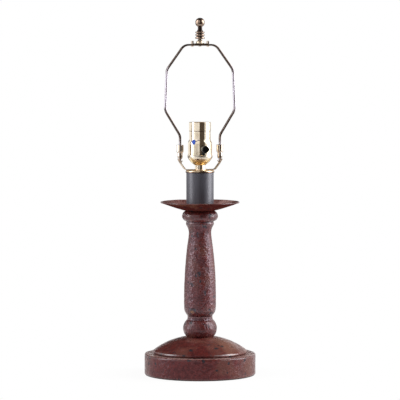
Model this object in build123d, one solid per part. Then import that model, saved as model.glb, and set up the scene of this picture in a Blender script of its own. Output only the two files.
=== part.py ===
from build123d import *
from math import asin, copysign, cos, radians, sin, tan
import os

# A turned wooden table lamp with a candle pan, a turn-knob bulb socket, a detachable harp and a finial.
# Millimetres, +Z up. The origin is the centre of the foot on the table, the harp lies in the XZ plane,
# the switch knob faces -Y and the cord leaves the base at +Y. Points are (radius or x, height).

# Base, dome and spindle: radii and heights of the wood turnings
FELT_RADIUS = 82.6
FELT_TOP = 1.2
DISC_RADIUS = 83.6
DISC_TOP = 32.0
DISC_TOP_ROUND = 2.0
DISC_FOOT_ROUND = 0.8
RECESS_RADIUS = 21.0
RECESS_TOP = 15.6
DOME_FOOT_RADIUS = 68.2
DOME_RADIUS = 70.6
DOME_LIP_TOP = (69.4, 36.9)
DOME_SHOULDER = (52.0, 47.6)
DOME_TOP = 57.3
TENON_RADIUS = 10.0
TENON_LENGTH = 7.4
TENON_PLAY = 0.1
BALL_FOOT_RADIUS = 20.3
BALL_RADIUS = 25.55
BALL_MIDDLE = 69.9
BALL_TOP = (19.3, 82.9)
RING_RADIUS = 18.65
RING_TOP = (18.9, 88.3)
GROOVE_DEPTH = 0.6
VASE_BOTTOM = 89.3
VASE_SHOULDER = (21.7, 93.0)
VASE_BELLY_START = (23.5, 97.8)
VASE_BELLY_SLOPE = (0.12, 1)
VASE_BELLY = (24.0, 113.0)
VASE_WAIST = (22.95, 152.5)
VASE_FLANK = (19.75, 189.5)
VASE_NECK = (16.75, 213.4)
VASE_NECK_SLOPE = (-0.06, 1)
COVE_MIDDLE = (17.75, 219.6)
COLLAR_EDGE_RADIUS = 20.4
COLLAR_RADIUS = 20.95
COLLAR_BOTTOM = 225.2
COLLAR_TOP = 231.0
TORUS_RADIUS = 27.0
TORUS_MIDDLE = 239.5
SPINDLE_TOP_RADIUS = 21.4
SPINDLE_TOP = 247.2

# Pipe that clamps the stack, with its hardware under the base
PIPE_RADIUS = 5.1
PIPE_BORE = 3.5
PIPE_BOTTOM = 5.6
TAPPED_RADIUS = 5.15
WOOD_HOLE = 5.6
METAL_HOLE = 5.3
WASHER_RADIUS = 14.0
WASHER_THICK = 1.6
NUT_FLATS = 14.3
NUT_SIDES = 6
NUT_THICK = 5.0

# Cord hole in the back of the base
CORD_HEIGHT = 10.4
CORD_BORE = 3.6
CORD_CHANNEL = 4.2
BUSHING_RADIUS = 6.0
BUSHING_LENGTH = 14.0
BUSHING_FLANGE_RADIUS = 8.0
BUSHING_FLANGE_THICK = 1.4
BUSHING_PLAY = 0.05

# Candle pan, candle cover and the cap on it
PAN_THICK = 1.2
PAN_FLOOR_RADIUS = 22.2
PAN_MIDDLE = (42.5, 253.2)
PAN_EDGE = (58.2, 258.9)
PAN_RADIUS = 59.5
PAN_RIM_RISE = 1.4
PAN_LEAN = 0.3
COVER_RADIUS = 20.6
COVER_WALL = 1.0
COVER_TOP = 307.4
CAP_RADIUS = 21.7
CAP_SKIRT_BOTTOM = 304.2
CAP_THICK = 1.0
CAP_PLAY = 0.1
CAP_HEM_ROUND = 0.6
CAP_CROWN_ROUND = 2.2

# Bulb socket: neck, bowl-shaped cap, shell, liner and insulating body
NECK_RADIUS = 7.6
NECK_TOP = 315.6
NECK_SPIGOT = 5.95
NECK_RIVET_RADIUS = 8.0
NECK_RIVET_THICK = 1.1
SET_SCREW_RADIUS = 1.6
SET_SCREW_HEIGHT = 312.4
SET_SCREW_PLAY = 0.05
SET_SCREW_PROUD = 0.6
SET_SCREW_SLOT_DEPTH = 0.6
SET_SCREW_SLOT_WIDTH = 0.5
BOWL_WALL = 0.6
BOWL_FLOOR_THICK = 0.8
BOWL_FOOT_RADIUS = 8.0
BOWL_MIDDLE = (12.4, 320.0)
BOWL_SHOULDER = (16.6, 325.6)
BOWL_RIM_CURVE = (18.2, 326.5)
BOWL_RIM_RADIUS = 18.8
BOWL_RIM_BOTTOM = 327.9
BOWL_RIM_TOP = 330.9
BOWL_PLAY = 0.05
LEDGE_HEIGHT = 327.0
NOTCH_RADIUS = 1.1
NOTCH_HEIGHT = 324.6
NOTCH_BEARING = -26.5
NOTCH_DEPTH = 6.0
SHELL_WALL = 0.5
SHELL_SKIRT_RADIUS = 18.2
SHELL_RADIUS = 16.2
SHELL_RING_RADIUS = 16.6
SHELL_BOTTOM = 328.2
SHELL_SHOULDER_BOTTOM = 348.2
SHELL_SHOULDER_TOP = 355.4
SHELL_GROOVE_DEPTH = 0.2
SHELL_GROOVE_BOTTOM = 366.3
SHELL_GROOVE_MIDDLE = 366.75
SHELL_RING_BOTTOM = 367.2
SHELL_TOP = 380.0
SHELL_RIM_ROUND = 0.6
SHELL_SLOT_WIDTH = 5.6
LINER_WALL = 0.7
LINER_PLAY = 0.1
LINER_STEP_DROP = 1.6
LINER_TOP = 377.5
BODY_RADIUS = 16.4
BODY_PLAY = 0.05
BODY_TOP = 346.5
BODY_DECK_RADIUS = 14.2
DECK_TOP = 350.5
BODY_FLAT = 13.2
THREAD_RADIUS = 13.25
THREAD_WALL = 0.5
THREAD_BOTTOM = 356.8
THREAD_TOP = 376.0
THREAD_CUP_RADIUS = 12.5
THREAD_FLOOR_HOLE = 9.0
CONTACT_WIDTH = 5.0
CONTACT_THICK = 0.6
CONTACT_BACK = -6.0
CONTACT_BEND = -1.5
CONTACT_NOSE = 3.2
CONTACT_FRONT = 5.8
CONTACT_RISE = 4.4
CONTACT_DROP = 0.6
CONTACT_ROUND = 1.5
TERMINAL_HEAD_RADIUS = 3.2
TERMINAL_HEAD_THICK = 2.2
TERMINAL_SLOT = 0.9

# Switch stem and knob, on an axis along -Y
KNOB_HEIGHT = 340.0
STEM_RADIUS = 2.5
STEM_PLAY = 0.05
STEM_END_PLAY = 0.5
STEM_INNER_END = 3.0
STEM_OUTER_END = 30.0
KNOB_BACK = 20.4
KNOB_SHOULDER = 27.3
KNOB_FRONT = 33.0
KNOB_RADIUS = 5.7
KNOB_BACK_RADIUS = 4.8
KNOB_ROUND = 1.8
KNOB_FLUTES = 16
KNOB_FLUTE_RADIUS = 0.8
KNOB_FLUTE_DEPTH = 0.3

# Saddle: a bent strip with forked ends and inner tongues that cradle the harp's feet
LEG_X = 31.0
SADDLE_WIDTH = 9.0
SADDLE_THICK = 1.0
SADDLE_EYE_RADIUS = 9.0
SADDLE_BEND_X = 22.9
SADDLE_KNEE = (29.8, 318.0)
TONGUE_ROOT = (30.1, 318.7)
TONGUE_TIP = (27.8, 322.6)
TONGUE_WIDTH = 3.2
SADDLE_TIP = (33.7, 324.7)
SADDLE_BEND_RADIUS = 5.0
SADDLE_KNEE_RADIUS = 8.0
FORK_WIDTH = 3.6
FORK_BOTTOM = 319.6

# Harp: a bent strip with narrow feet
STRIP_THICK = 2.8
STRIP_WIDTH = 5.5
STRIP_ROUND = 0.9
HARP_TOP = 495.6
HARP_SHOULDER_X = 24.6
HARP_HIP = (51.6, 458.4)
HARP_BELLY = (54.2, 397.6)
HARP_WAIST = 360.1
HARP_LEG_BOTTOM = 342.0
HARP_RADII = (14.0, 16.0, 18.0, 14.0)
FOOT_WIDTH = 3.0
FOOT_TIP = 319.75
FOOT_TIP_HALF = 0.5
FOOT_TAPER_TOP = 324.6
BARB_WIDTH = 5.4
BARB_TOP = 325.3
BARB_BOTTOM = 323.2

# Ferrules that slide on the harp's legs
FERRULE_BOTTOM = 325.6
FERRULE_TOP = 346.2
FERRULE_BORE = 3.3
FERRULE_FOOT_BORE = 2.35
FERRULE_STEP_BOTTOM = 329.6
FERRULE_STEP_TOP = 330.2
FERRULE_FOOT_RADIUS = 3.3
FERRULE_RADIUS = 5.3
FERRULE_NECK_RADIUS = 3.9
FERRULE_SHOULDER_BOTTOM = 334.0
FERRULE_SHOULDER_TOP = 336.6
FERRULE_ROUND = 1.0

# Shade rest: bracket on the harp's top, swivel stud and finial
BRACKET_X = 12.0
BRACKET_TAB_THICK = 1.9
BRACKET_TAB_WIDTH = 8.4
BRACKET_TAB_BOTTOM = 492.7
BRACKET_TAB_TOP = 501.6
BRACKET_PLATE_THICK = 0.8
BRACKET_PLATE_WIDTH = 6.4
BRACKET_PLAY = 0.05
PIVOT_RADIUS = 1.6
PIVOT_PLAY = 0.05
PIVOT_HEAD_RADIUS = 2.4
PIVOT_HEAD_THICK = 0.9
PIVOT_HEAD_ROUND = 0.5
PIVOT_END_PLAY = 0.1
SEAT_RADIUS = 6.4
SEAT_TOP_RADIUS = 4.9
SEAT_TOP = 501.9
SEAT_ROUND = 0.6
STUD_RADIUS = 3.175
STUD_SHOULDER_TOP = 504.6
STUD_THREAD_RADIUS = 3.0
STUD_TOP = 512.0
STUD_ROUND = 0.6
FINIAL_BORE = 3.05
FINIAL_BORE_TOP = 513.0
FINIAL_BOTTOM = 504.6
FINIAL_RING_RADIUS = 7.1
FINIAL_RING_ROUND = 0.5
FINIAL_GROOVE_RADIUS = 5.5
FINIAL_RINGS = ((504.6, 507.4), (509.3, 511.6), (513.4, 515.2))
FINIAL_FLARE = (4.2, 516.9)
FINIAL_NECK_RADIUS = 3.3
FINIAL_NECK_BOTTOM = 519.4
FINIAL_BALL_RADIUS = 7.1
FINIAL_BALL_MIDDLE = 529.0

# Heights that follow from the stack
PAN_FLOOR = SPINDLE_TOP + PAN_THICK
CAP_TOP = COVER_TOP + CAP_THICK
NECK_BOTTOM = CAP_TOP + SADDLE_THICK
BOWL_FLOOR = NECK_TOP + BOWL_FLOOR_THICK
PIPE_TOP = BOWL_FLOOR + NECK_RIVET_THICK
PLATE_BOTTOM = HARP_TOP + STRIP_THICK / 2
PLATE_TOP = PLATE_BOTTOM + BRACKET_PLATE_THICK
STRIP_UNDERSIDE = HARP_TOP - STRIP_THICK / 2


class Outline:
    """A closed outline in the XZ plane, drawn from point to point."""

    def __init__(self, start):
        self.start = start
        self.here = start
        self.edges = []

    def to(self, *points):
        """Straight lines through the points."""
        for point in points:
            self.edges.append(Line(self.here, point))
            self.here = point
        return self

    def arc(self, through, end):
        """An arc through one point to the end."""
        self.edges.append(ThreePointArc(self.here, through, end))
        self.here = end
        return self

    def curve(self, *points, leave, arrive):
        """A smooth curve through the points, with its first and last directions."""
        self.edges.append(Spline(self.here, *points, tangents=(leave, arrive)))
        self.here = points[-1]
        return self

    def s_bend(self, end):
        """Two equal arcs that leave and arrive upright."""
        (x, z), (end_x, end_z) = self.here, end
        across = (end_x - x) / 2
        along = (end_z - z) / 2
        radius = (across**2 + along**2) / (2 * abs(across))
        quarter = asin(along / radius) / 2
        bulge_x = copysign(radius - radius * cos(quarter), across)
        bulge_z = radius * sin(quarter)
        self.arc((x + bulge_x, z + bulge_z), (x + across, z + along))
        return self.arc((end_x - bulge_x, end_z - bulge_z), end)

    def rounded(self, corner, toward, radius):
        """A line that rounds a corner and ends on the way to the next point."""
        turn = Vector(*corner)
        back = (Vector(*self.here) - turn).normalized()
        ahead = (Vector(*toward) - turn).normalized()
        half = radians(back.get_angle(ahead)) / 2
        reach = radius / tan(half)
        start = turn + back * reach
        middle = turn + (back + ahead).normalized() * (radius / sin(half) - radius)
        end = turn + ahead * reach
        return self.to((start.X, start.Y)).arc((middle.X, middle.Y), (end.X, end.Y))

    def face(self):
        """The closed outline as a face."""
        self.to(self.start)
        return make_face(Plane.XZ * Curve(self.edges))

    def turned(self):
        """The solid turned about the lamp's axis."""
        return revolve(self.face(), Axis.Z)

    def thick(self, width):
        """The solid of this outline with the given width along Y, centred."""
        return extrude(self.face(), amount=width / 2, both=True)


def tube(outer, inner, bottom, top):
    """An upright tube."""
    height = top - bottom
    wall = Cylinder(outer, height) - Cylinder(inner, height)
    return Pos(0, 0, (bottom + top) / 2) * wall


def post(radius, bottom, top):
    """An upright round bar."""
    return Pos(0, 0, (bottom + top) / 2) * Cylinder(radius, top - bottom)


def rod_y(radius, start, end, height):
    """A round bar along Y."""
    bar = Cylinder(radius, abs(end - start), rotation=(90, 0, 0))
    return Pos(0, (start + end) / 2, height) * bar


def felt_pad():
    return post(FELT_RADIUS, 0, FELT_TOP)


def base_disc():
    disc = post(DISC_RADIUS, FELT_TOP, DISC_TOP)
    disc = fillet(disc.edges().filter_by(GeomType.CIRCLE).sort_by(Axis.Z)[-1], DISC_TOP_ROUND)
    disc = fillet(disc.edges().filter_by(GeomType.CIRCLE).sort_by(Axis.Z)[0], DISC_FOOT_ROUND)
    disc -= post(RECESS_RADIUS, FELT_TOP, RECESS_TOP)
    disc -= post(WOOD_HOLE, RECESS_TOP, DISC_TOP)
    disc -= rod_y(CORD_CHANNEL, 0, DISC_RADIUS, CORD_HEIGHT)
    seat = DISC_RADIUS - BUSHING_LENGTH
    disc -= rod_y(BUSHING_RADIUS + BUSHING_PLAY, seat, DISC_RADIUS, CORD_HEIGHT)
    spot_face = DISC_RADIUS - BUSHING_FLANGE_THICK
    disc -= rod_y(BUSHING_FLANGE_RADIUS + BUSHING_PLAY, spot_face, DISC_RADIUS, CORD_HEIGHT)
    return disc


def cord_bushing():
    flange_back = DISC_RADIUS - BUSHING_FLANGE_THICK
    flange = rod_y(BUSHING_FLANGE_RADIUS, flange_back, DISC_RADIUS, CORD_HEIGHT)
    flange = fillet(flange.edges().sort_by(Axis.Y)[-1], BUSHING_FLANGE_THICK / 2)
    body = rod_y(BUSHING_RADIUS, DISC_RADIUS - BUSHING_LENGTH, flange_back, CORD_HEIGHT)
    return flange + body - rod_y(CORD_BORE, DISC_RADIUS - BUSHING_LENGTH, DISC_RADIUS, CORD_HEIGHT)


def base_dome():
    lip_middle = (DOME_RADIUS, (DISC_TOP + DOME_LIP_TOP[1]) / 2)
    tenon_hole = TENON_RADIUS + TENON_PLAY
    hole_bottom = DOME_TOP - TENON_LENGTH - TENON_PLAY
    outline = Outline((WOOD_HOLE, DISC_TOP)).to((DOME_FOOT_RADIUS, DISC_TOP))
    outline.arc(lip_middle, DOME_LIP_TOP).arc(DOME_SHOULDER, (BALL_FOOT_RADIUS, DOME_TOP))
    outline.to((tenon_hole, DOME_TOP), (tenon_hole, hole_bottom), (WOOD_HOLE, hole_bottom))
    return outline.turned()


def spindle():
    tenon_end = DOME_TOP - TENON_LENGTH
    groove = ((RING_TOP[0] + RING_RADIUS) / 2 - GROOVE_DEPTH, (RING_TOP[1] + VASE_BOTTOM) / 2)
    waist = (RING_RADIUS, (BALL_TOP[1] + RING_TOP[1]) / 2)
    collar_middle = (COLLAR_RADIUS, (COLLAR_BOTTOM + COLLAR_TOP) / 2)
    outline = Outline((WOOD_HOLE, tenon_end))
    outline.to((TENON_RADIUS, tenon_end), (TENON_RADIUS, DOME_TOP), (BALL_FOOT_RADIUS, DOME_TOP))
    outline.arc((BALL_RADIUS, BALL_MIDDLE), BALL_TOP).arc(waist, RING_TOP)
    outline.to(groove, (RING_TOP[0], VASE_BOTTOM)).arc(VASE_SHOULDER, VASE_BELLY_START)
    vase = (VASE_BELLY, VASE_WAIST, VASE_FLANK, VASE_NECK)
    outline.curve(*vase, leave=VASE_BELLY_SLOPE, arrive=VASE_NECK_SLOPE)
    outline.arc(COVE_MIDDLE, (COLLAR_EDGE_RADIUS, COLLAR_BOTTOM))
    outline.arc(collar_middle, (COLLAR_EDGE_RADIUS, COLLAR_TOP))
    outline.arc((TORUS_RADIUS, TORUS_MIDDLE), (SPINDLE_TOP_RADIUS, SPINDLE_TOP))
    outline.to((WOOD_HOLE, SPINDLE_TOP))
    return outline.turned()


def lamp_pipe():
    return tube(PIPE_RADIUS, PIPE_BORE, PIPE_BOTTOM, PIPE_TOP)


def base_washer():
    return tube(WASHER_RADIUS, METAL_HOLE, RECESS_TOP - WASHER_THICK, RECESS_TOP)


def base_nut():
    top = RECESS_TOP - WASHER_THICK
    hexagon = RegularPolygon(NUT_FLATS / 2, NUT_SIDES, major_radius=False)
    nut = extrude(Pos(0, 0, top - NUT_THICK) * hexagon, amount=NUT_THICK)
    return nut - post(TAPPED_RADIUS, top - NUT_THICK, top)


def candle_pan():
    edge_x, edge_z = PAN_EDGE
    middle_x, middle_z = PAN_MIDDLE
    rim_middle = (PAN_RADIUS, edge_z + PAN_RIM_RISE / 2)
    rim_top = (edge_x - PAN_LEAN, edge_z + PAN_RIM_RISE)
    upper_middle = (middle_x - PAN_LEAN, middle_z + PAN_THICK)
    outline = Outline((METAL_HOLE, SPINDLE_TOP)).to((PAN_FLOOR_RADIUS, SPINDLE_TOP))
    outline.arc(PAN_MIDDLE, PAN_EDGE).arc(rim_middle, rim_top)
    outline.arc(upper_middle, (PAN_FLOOR_RADIUS - PAN_LEAN, PAN_FLOOR)).to((METAL_HOLE, PAN_FLOOR))
    return outline.turned()


def candle_cover():
    return tube(COVER_RADIUS, COVER_RADIUS - COVER_WALL, PAN_FLOOR, COVER_TOP)


def cover_cap():
    inside = COVER_RADIUS + CAP_PLAY
    crown = (CAP_RADIUS, CAP_TOP)
    outline = Outline((METAL_HOLE, COVER_TOP)).to((inside, COVER_TOP), (inside, CAP_SKIRT_BOTTOM))
    outline.rounded((CAP_RADIUS, CAP_SKIRT_BOTTOM), crown, CAP_HEM_ROUND)
    outline.rounded(crown, (METAL_HOLE, CAP_TOP), CAP_CROWN_ROUND).to((METAL_HOLE, CAP_TOP))
    return outline.turned()


def saddle_tongue():
    """The right end's tongue, pressed inwards out of the fork."""
    root, tip = Vector(*TONGUE_ROOT), Vector(*TONGUE_TIP)
    along = (tip - root).normalized()
    across = Vector(along.Y, -along.X) * (SADDLE_THICK / 2)
    corners = [root - across, tip - across, tip + across, root + across]
    outline = Outline((corners[0].X, corners[0].Y)).to(*[(c.X, c.Y) for c in corners[1:]])
    return outline.thick(TONGUE_WIDTH)


def harp_saddle():
    middle = CAP_TOP + SADDLE_THICK / 2
    right = [(SADDLE_BEND_X, middle), SADDLE_KNEE, SADDLE_TIP]
    left = [(-x, z) for x, z in reversed(right)]
    points = [(x, 0, z) for x, z in left + right]
    radii = [SADDLE_KNEE_RADIUS, SADDLE_BEND_RADIUS]
    path = FilletPolyline(*points, radius=radii + radii[::-1])
    section = Plane(path @ 0, x_dir=(0, 1, 0), z_dir=path % 0)
    saddle = sweep(section * Rectangle(SADDLE_WIDTH, SADDLE_THICK), path)
    saddle += post(SADDLE_EYE_RADIUS, CAP_TOP, NECK_BOTTOM)
    saddle -= post(METAL_HOLE, CAP_TOP, NECK_BOTTOM)
    gap_height = SADDLE_TIP[1] + SADDLE_THICK - FORK_BOTTOM
    gap_length = SADDLE_TIP[0] - SADDLE_KNEE[0] + 4 * SADDLE_THICK
    gap = Box(gap_length, FORK_WIDTH, gap_height)
    for side in (-1, 1):
        centre = side * (SADDLE_TIP[0] + SADDLE_KNEE[0]) / 2
        saddle -= Pos(centre, 0, FORK_BOTTOM + gap_height / 2) * gap
    tongue = saddle_tongue()
    return saddle + tongue + Rot(0, 0, 180) * tongue


def socket_neck():
    outline = Outline((TAPPED_RADIUS, NECK_BOTTOM)).to((NECK_RADIUS, NECK_BOTTOM), (NECK_RADIUS, NECK_TOP))
    outline.to((NECK_SPIGOT, NECK_TOP), (NECK_SPIGOT, BOWL_FLOOR), (NECK_RIVET_RADIUS, BOWL_FLOOR))
    outline.to((NECK_RIVET_RADIUS, PIPE_TOP), (TAPPED_RADIUS, PIPE_TOP))
    screw_hole = rod_y(SET_SCREW_RADIUS + SET_SCREW_PLAY, PIPE_RADIUS, NECK_RADIUS, SET_SCREW_HEIGHT)
    return outline.turned() - screw_hole


def neck_set_screw():
    head = NECK_RADIUS + SET_SCREW_PROUD
    screw = rod_y(SET_SCREW_RADIUS, PIPE_RADIUS, head, SET_SCREW_HEIGHT)
    slot = Box(2 * SET_SCREW_RADIUS, 2 * SET_SCREW_SLOT_DEPTH, SET_SCREW_SLOT_WIDTH)
    return screw - Pos(0, head, SET_SCREW_HEIGHT) * slot


def socket_cap():
    hole = NECK_SPIGOT + BOWL_PLAY
    rim_inside = SHELL_SKIRT_RADIUS + BOWL_PLAY
    inner_middle = (BOWL_MIDDLE[0] - BOWL_WALL / 2, BOWL_MIDDLE[1] + BOWL_WALL)
    outline = Outline((hole, NECK_TOP)).to((BOWL_FOOT_RADIUS, NECK_TOP)).arc(BOWL_MIDDLE, BOWL_SHOULDER)
    outline.arc(BOWL_RIM_CURVE, (BOWL_RIM_RADIUS, BOWL_RIM_BOTTOM)).to((BOWL_RIM_RADIUS, BOWL_RIM_TOP))
    outline.to((rim_inside, BOWL_RIM_TOP), (rim_inside, LEDGE_HEIGHT))
    outline.to((BOWL_SHOULDER[0] - BOWL_WALL, LEDGE_HEIGHT))
    outline.arc(inner_middle, (NECK_RIVET_RADIUS, BOWL_FLOOR)).to((hole, BOWL_FLOOR))
    notch = rod_y(NOTCH_RADIUS, -BOWL_RIM_RADIUS, NOTCH_DEPTH - BOWL_RIM_RADIUS, NOTCH_HEIGHT)
    return outline.turned() - Rot(0, 0, NOTCH_BEARING) * notch


def slot_for_stem():
    """The cutter for the slot that lets the shell and liner drop over the switch stem."""
    reach = SHELL_SKIRT_RADIUS
    height = KNOB_HEIGHT - SHELL_BOTTOM
    straight = Pos(0, -reach / 2, SHELL_BOTTOM + height / 2) * Box(SHELL_SLOT_WIDTH, reach, height)
    return straight + rod_y(SHELL_SLOT_WIDTH / 2, -reach, 0, KNOB_HEIGHT)


def socket_shell():
    skirt, body, ring = SHELL_SKIRT_RADIUS, SHELL_RADIUS, SHELL_RING_RADIUS
    inside = body - SHELL_WALL
    drop = SHELL_WALL / 2
    outline = Outline((skirt - SHELL_WALL, SHELL_BOTTOM)).to((skirt, SHELL_BOTTOM))
    outline.to((skirt, SHELL_SHOULDER_BOTTOM)).s_bend((body, SHELL_SHOULDER_TOP))
    outline.to((body, SHELL_GROOVE_BOTTOM), (body - SHELL_GROOVE_DEPTH, SHELL_GROOVE_MIDDLE))
    outline.to((ring, SHELL_RING_BOTTOM))
    outline.rounded((ring, SHELL_TOP), (inside, SHELL_TOP), SHELL_RIM_ROUND).to((inside, SHELL_TOP))
    outline.to((inside, SHELL_SHOULDER_TOP - drop))
    outline.s_bend((skirt - SHELL_WALL, SHELL_SHOULDER_BOTTOM - drop))
    return outline.turned() - slot_for_stem()


def shell_liner():
    low = SHELL_SKIRT_RADIUS - SHELL_WALL - LINER_PLAY
    high = SHELL_RADIUS - SHELL_WALL - LINER_PLAY
    step_low = SHELL_SHOULDER_BOTTOM - LINER_STEP_DROP
    step_high = SHELL_SHOULDER_TOP - LINER_STEP_DROP
    outline = Outline((low - LINER_WALL, SHELL_BOTTOM)).to((low, SHELL_BOTTOM), (low, step_low))
    outline.to((high, step_high), (high, LINER_TOP), (high - LINER_WALL, LINER_TOP))
    outline.to((high - LINER_WALL, step_high - LINER_WALL), (low - LINER_WALL, step_low - LINER_WALL))
    return outline.turned() - slot_for_stem()


def socket_body():
    flange = SHELL_SKIRT_RADIUS - BODY_PLAY
    outline = Outline((0, LEDGE_HEIGHT)).to((flange, LEDGE_HEIGHT), (flange, SHELL_BOTTOM))
    outline.to((BODY_RADIUS, SHELL_BOTTOM), (BODY_RADIUS, BODY_TOP), (BODY_DECK_RADIUS, BODY_TOP))
    outline.to((BODY_DECK_RADIUS, DECK_TOP), (0, DECK_TOP))
    body = outline.turned()
    pocket_depth = BODY_RADIUS - BODY_FLAT
    pocket_height = BODY_TOP - SHELL_BOTTOM
    pocket = Box(pocket_depth, 2 * BODY_RADIUS, pocket_height)
    for side in (-1, 1):
        body -= Pos(side * (BODY_FLAT + pocket_depth / 2), 0, SHELL_BOTTOM + pocket_height / 2) * pocket
    bore_end = STEM_INNER_END - STEM_END_PLAY
    return body - rod_y(STEM_RADIUS + STEM_PLAY, -BODY_RADIUS, -bore_end, KNOB_HEIGHT)


def terminal_screws():
    head = Cylinder(TERMINAL_HEAD_RADIUS, TERMINAL_HEAD_THICK, rotation=(0, 90, 0))
    head = fillet(head.edges(), TERMINAL_HEAD_THICK / 4)
    slot = Box(TERMINAL_HEAD_THICK / 2, 3 * TERMINAL_HEAD_RADIUS, TERMINAL_SLOT)
    screws = []
    for side in (-1, 1):
        middle = side * (BODY_FLAT + TERMINAL_HEAD_THICK / 2)
        outer = side * (BODY_FLAT + TERMINAL_HEAD_THICK * 3 / 4)
        screws.append(Pos(middle, 0, KNOB_HEIGHT) * head - Pos(outer, 0, KNOB_HEIGHT) * slot)
    return Compound(screws)


def screw_shell():
    outer = THREAD_RADIUS + THREAD_WALL
    cup_outer = THREAD_CUP_RADIUS + THREAD_WALL
    cup_top = THREAD_BOTTOM - THREAD_WALL
    floor = DECK_TOP + THREAD_WALL
    outline = Outline((THREAD_FLOOR_HOLE, DECK_TOP)).to((cup_outer, DECK_TOP), (cup_outer, cup_top))
    outline.to((outer, THREAD_BOTTOM), (outer, THREAD_TOP), (THREAD_RADIUS, THREAD_TOP))
    outline.to((THREAD_RADIUS, THREAD_BOTTOM), (THREAD_CUP_RADIUS, cup_top))
    outline.to((THREAD_CUP_RADIUS, floor), (THREAD_FLOOR_HOLE, floor))
    return outline.turned()


def centre_contact():
    rise = DECK_TOP + CONTACT_RISE
    under = rise - CONTACT_THICK
    strip_top = DECK_TOP + CONTACT_THICK
    tip_under = (CONTACT_FRONT, under - CONTACT_DROP)
    tip_over = (CONTACT_FRONT, rise - CONTACT_DROP)
    bend_over = (CONTACT_BEND - CONTACT_THICK, strip_top)
    outline = Outline((CONTACT_BACK, DECK_TOP)).to((CONTACT_BEND, DECK_TOP))
    outline.rounded((CONTACT_NOSE, under), tip_under, CONTACT_ROUND).to(tip_under, tip_over)
    outline.rounded((CONTACT_NOSE, rise), bend_over, CONTACT_ROUND).to(bend_over, (CONTACT_BACK, strip_top))
    return Rot(0, 0, 90) * outline.thick(CONTACT_WIDTH)


def switch_stem():
    return rod_y(STEM_RADIUS, -STEM_OUTER_END, -STEM_INNER_END, KNOB_HEIGHT)


def turn_knob():
    length = KNOB_FRONT - KNOB_BACK
    depth = STEM_OUTER_END - KNOB_BACK
    outline = Outline((STEM_RADIUS, 0)).to((KNOB_BACK_RADIUS, 0), (KNOB_RADIUS, KNOB_SHOULDER - KNOB_BACK))
    outline.rounded((KNOB_RADIUS, length), (0, length), KNOB_ROUND)
    outline.to((0, length), (0, depth), (STEM_RADIUS, depth))
    knob = outline.turned()
    reach = KNOB_RADIUS + KNOB_FLUTE_RADIUS - KNOB_FLUTE_DEPTH
    flute = Pos(0, 0, length / 2) * Cylinder(KNOB_FLUTE_RADIUS, length)
    for place in PolarLocations(reach, KNOB_FLUTES):
        knob -= place * flute
    return Pos(0, -KNOB_BACK, KNOB_HEIGHT) * Rot(90, 0, 0) * knob


def harp_foot():
    """A narrow foot for a leg on the axis: tapered towards the tip, with a barb that stops the ferrule."""
    half = STRIP_THICK / 2
    side_view = Outline((half, HARP_LEG_BOTTOM)).to((half, FOOT_TAPER_TOP), (FOOT_TIP_HALF, FOOT_TIP))
    side_view.to((-FOOT_TIP_HALF, FOOT_TIP), (-half, FOOT_TAPER_TOP), (-half, HARP_LEG_BOTTOM))
    half = FOOT_WIDTH / 2
    barb = BARB_WIDTH / 2
    right = [(half, HARP_LEG_BOTTOM), (half, BARB_TOP), (barb, BARB_TOP)]
    right += [(half, BARB_BOTTOM), (half, FOOT_TIP)]
    left = [(-y, z) for y, z in reversed(right)]
    end_view = make_face(Plane.YZ * Polyline(*right, *left, close=True))
    return side_view.thick(BARB_WIDTH) & extrude(end_view, amount=STRIP_THICK, both=True)


def harp():
    right = [(HARP_SHOULDER_X, HARP_TOP), HARP_HIP, HARP_BELLY]
    right += [(LEG_X, HARP_WAIST), (LEG_X, HARP_LEG_BOTTOM)]
    left = [(-x, z) for x, z in reversed(right)]
    points = [(x, 0, z) for x, z in left + right]
    path = FilletPolyline(*points, radius=HARP_RADII[::-1] + HARP_RADII)
    section = Plane(path @ 0, x_dir=(1, 0, 0), z_dir=path % 0)
    strip = sweep(section * RectangleRounded(STRIP_THICK, STRIP_WIDTH, STRIP_ROUND), path)
    foot = harp_foot()
    strip += [Pos(side * LEG_X, 0, 0) * foot for side in (-1, 1)]
    return strip - post(PIVOT_RADIUS + PIVOT_PLAY, STRIP_UNDERSIDE, PLATE_BOTTOM)


def harp_bracket():
    tab_height = BRACKET_TAB_TOP - BRACKET_TAB_BOTTOM
    tab = Box(BRACKET_TAB_THICK, BRACKET_TAB_WIDTH, tab_height)
    tab = fillet(tab.edges().filter_by(Axis.X), BRACKET_TAB_WIDTH / 4)
    plate = Box(2 * BRACKET_X, BRACKET_PLATE_WIDTH, BRACKET_PLATE_THICK)
    bracket = Pos(0, 0, (PLATE_BOTTOM + PLATE_TOP) / 2) * plate
    for side in (-1, 1):
        bracket += Pos(side * BRACKET_X, 0, (BRACKET_TAB_BOTTOM + BRACKET_TAB_TOP) / 2) * tab
    window_length = 2 * BRACKET_X + BRACKET_TAB_WIDTH
    window = Box(window_length, STRIP_WIDTH + 2 * BRACKET_PLAY, STRIP_THICK + BRACKET_PLAY)
    bracket -= Pos(0, 0, HARP_TOP - BRACKET_PLAY / 2) * window
    return bracket - post(PIVOT_RADIUS + PIVOT_PLAY, PLATE_BOTTOM, PLATE_TOP)


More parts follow.
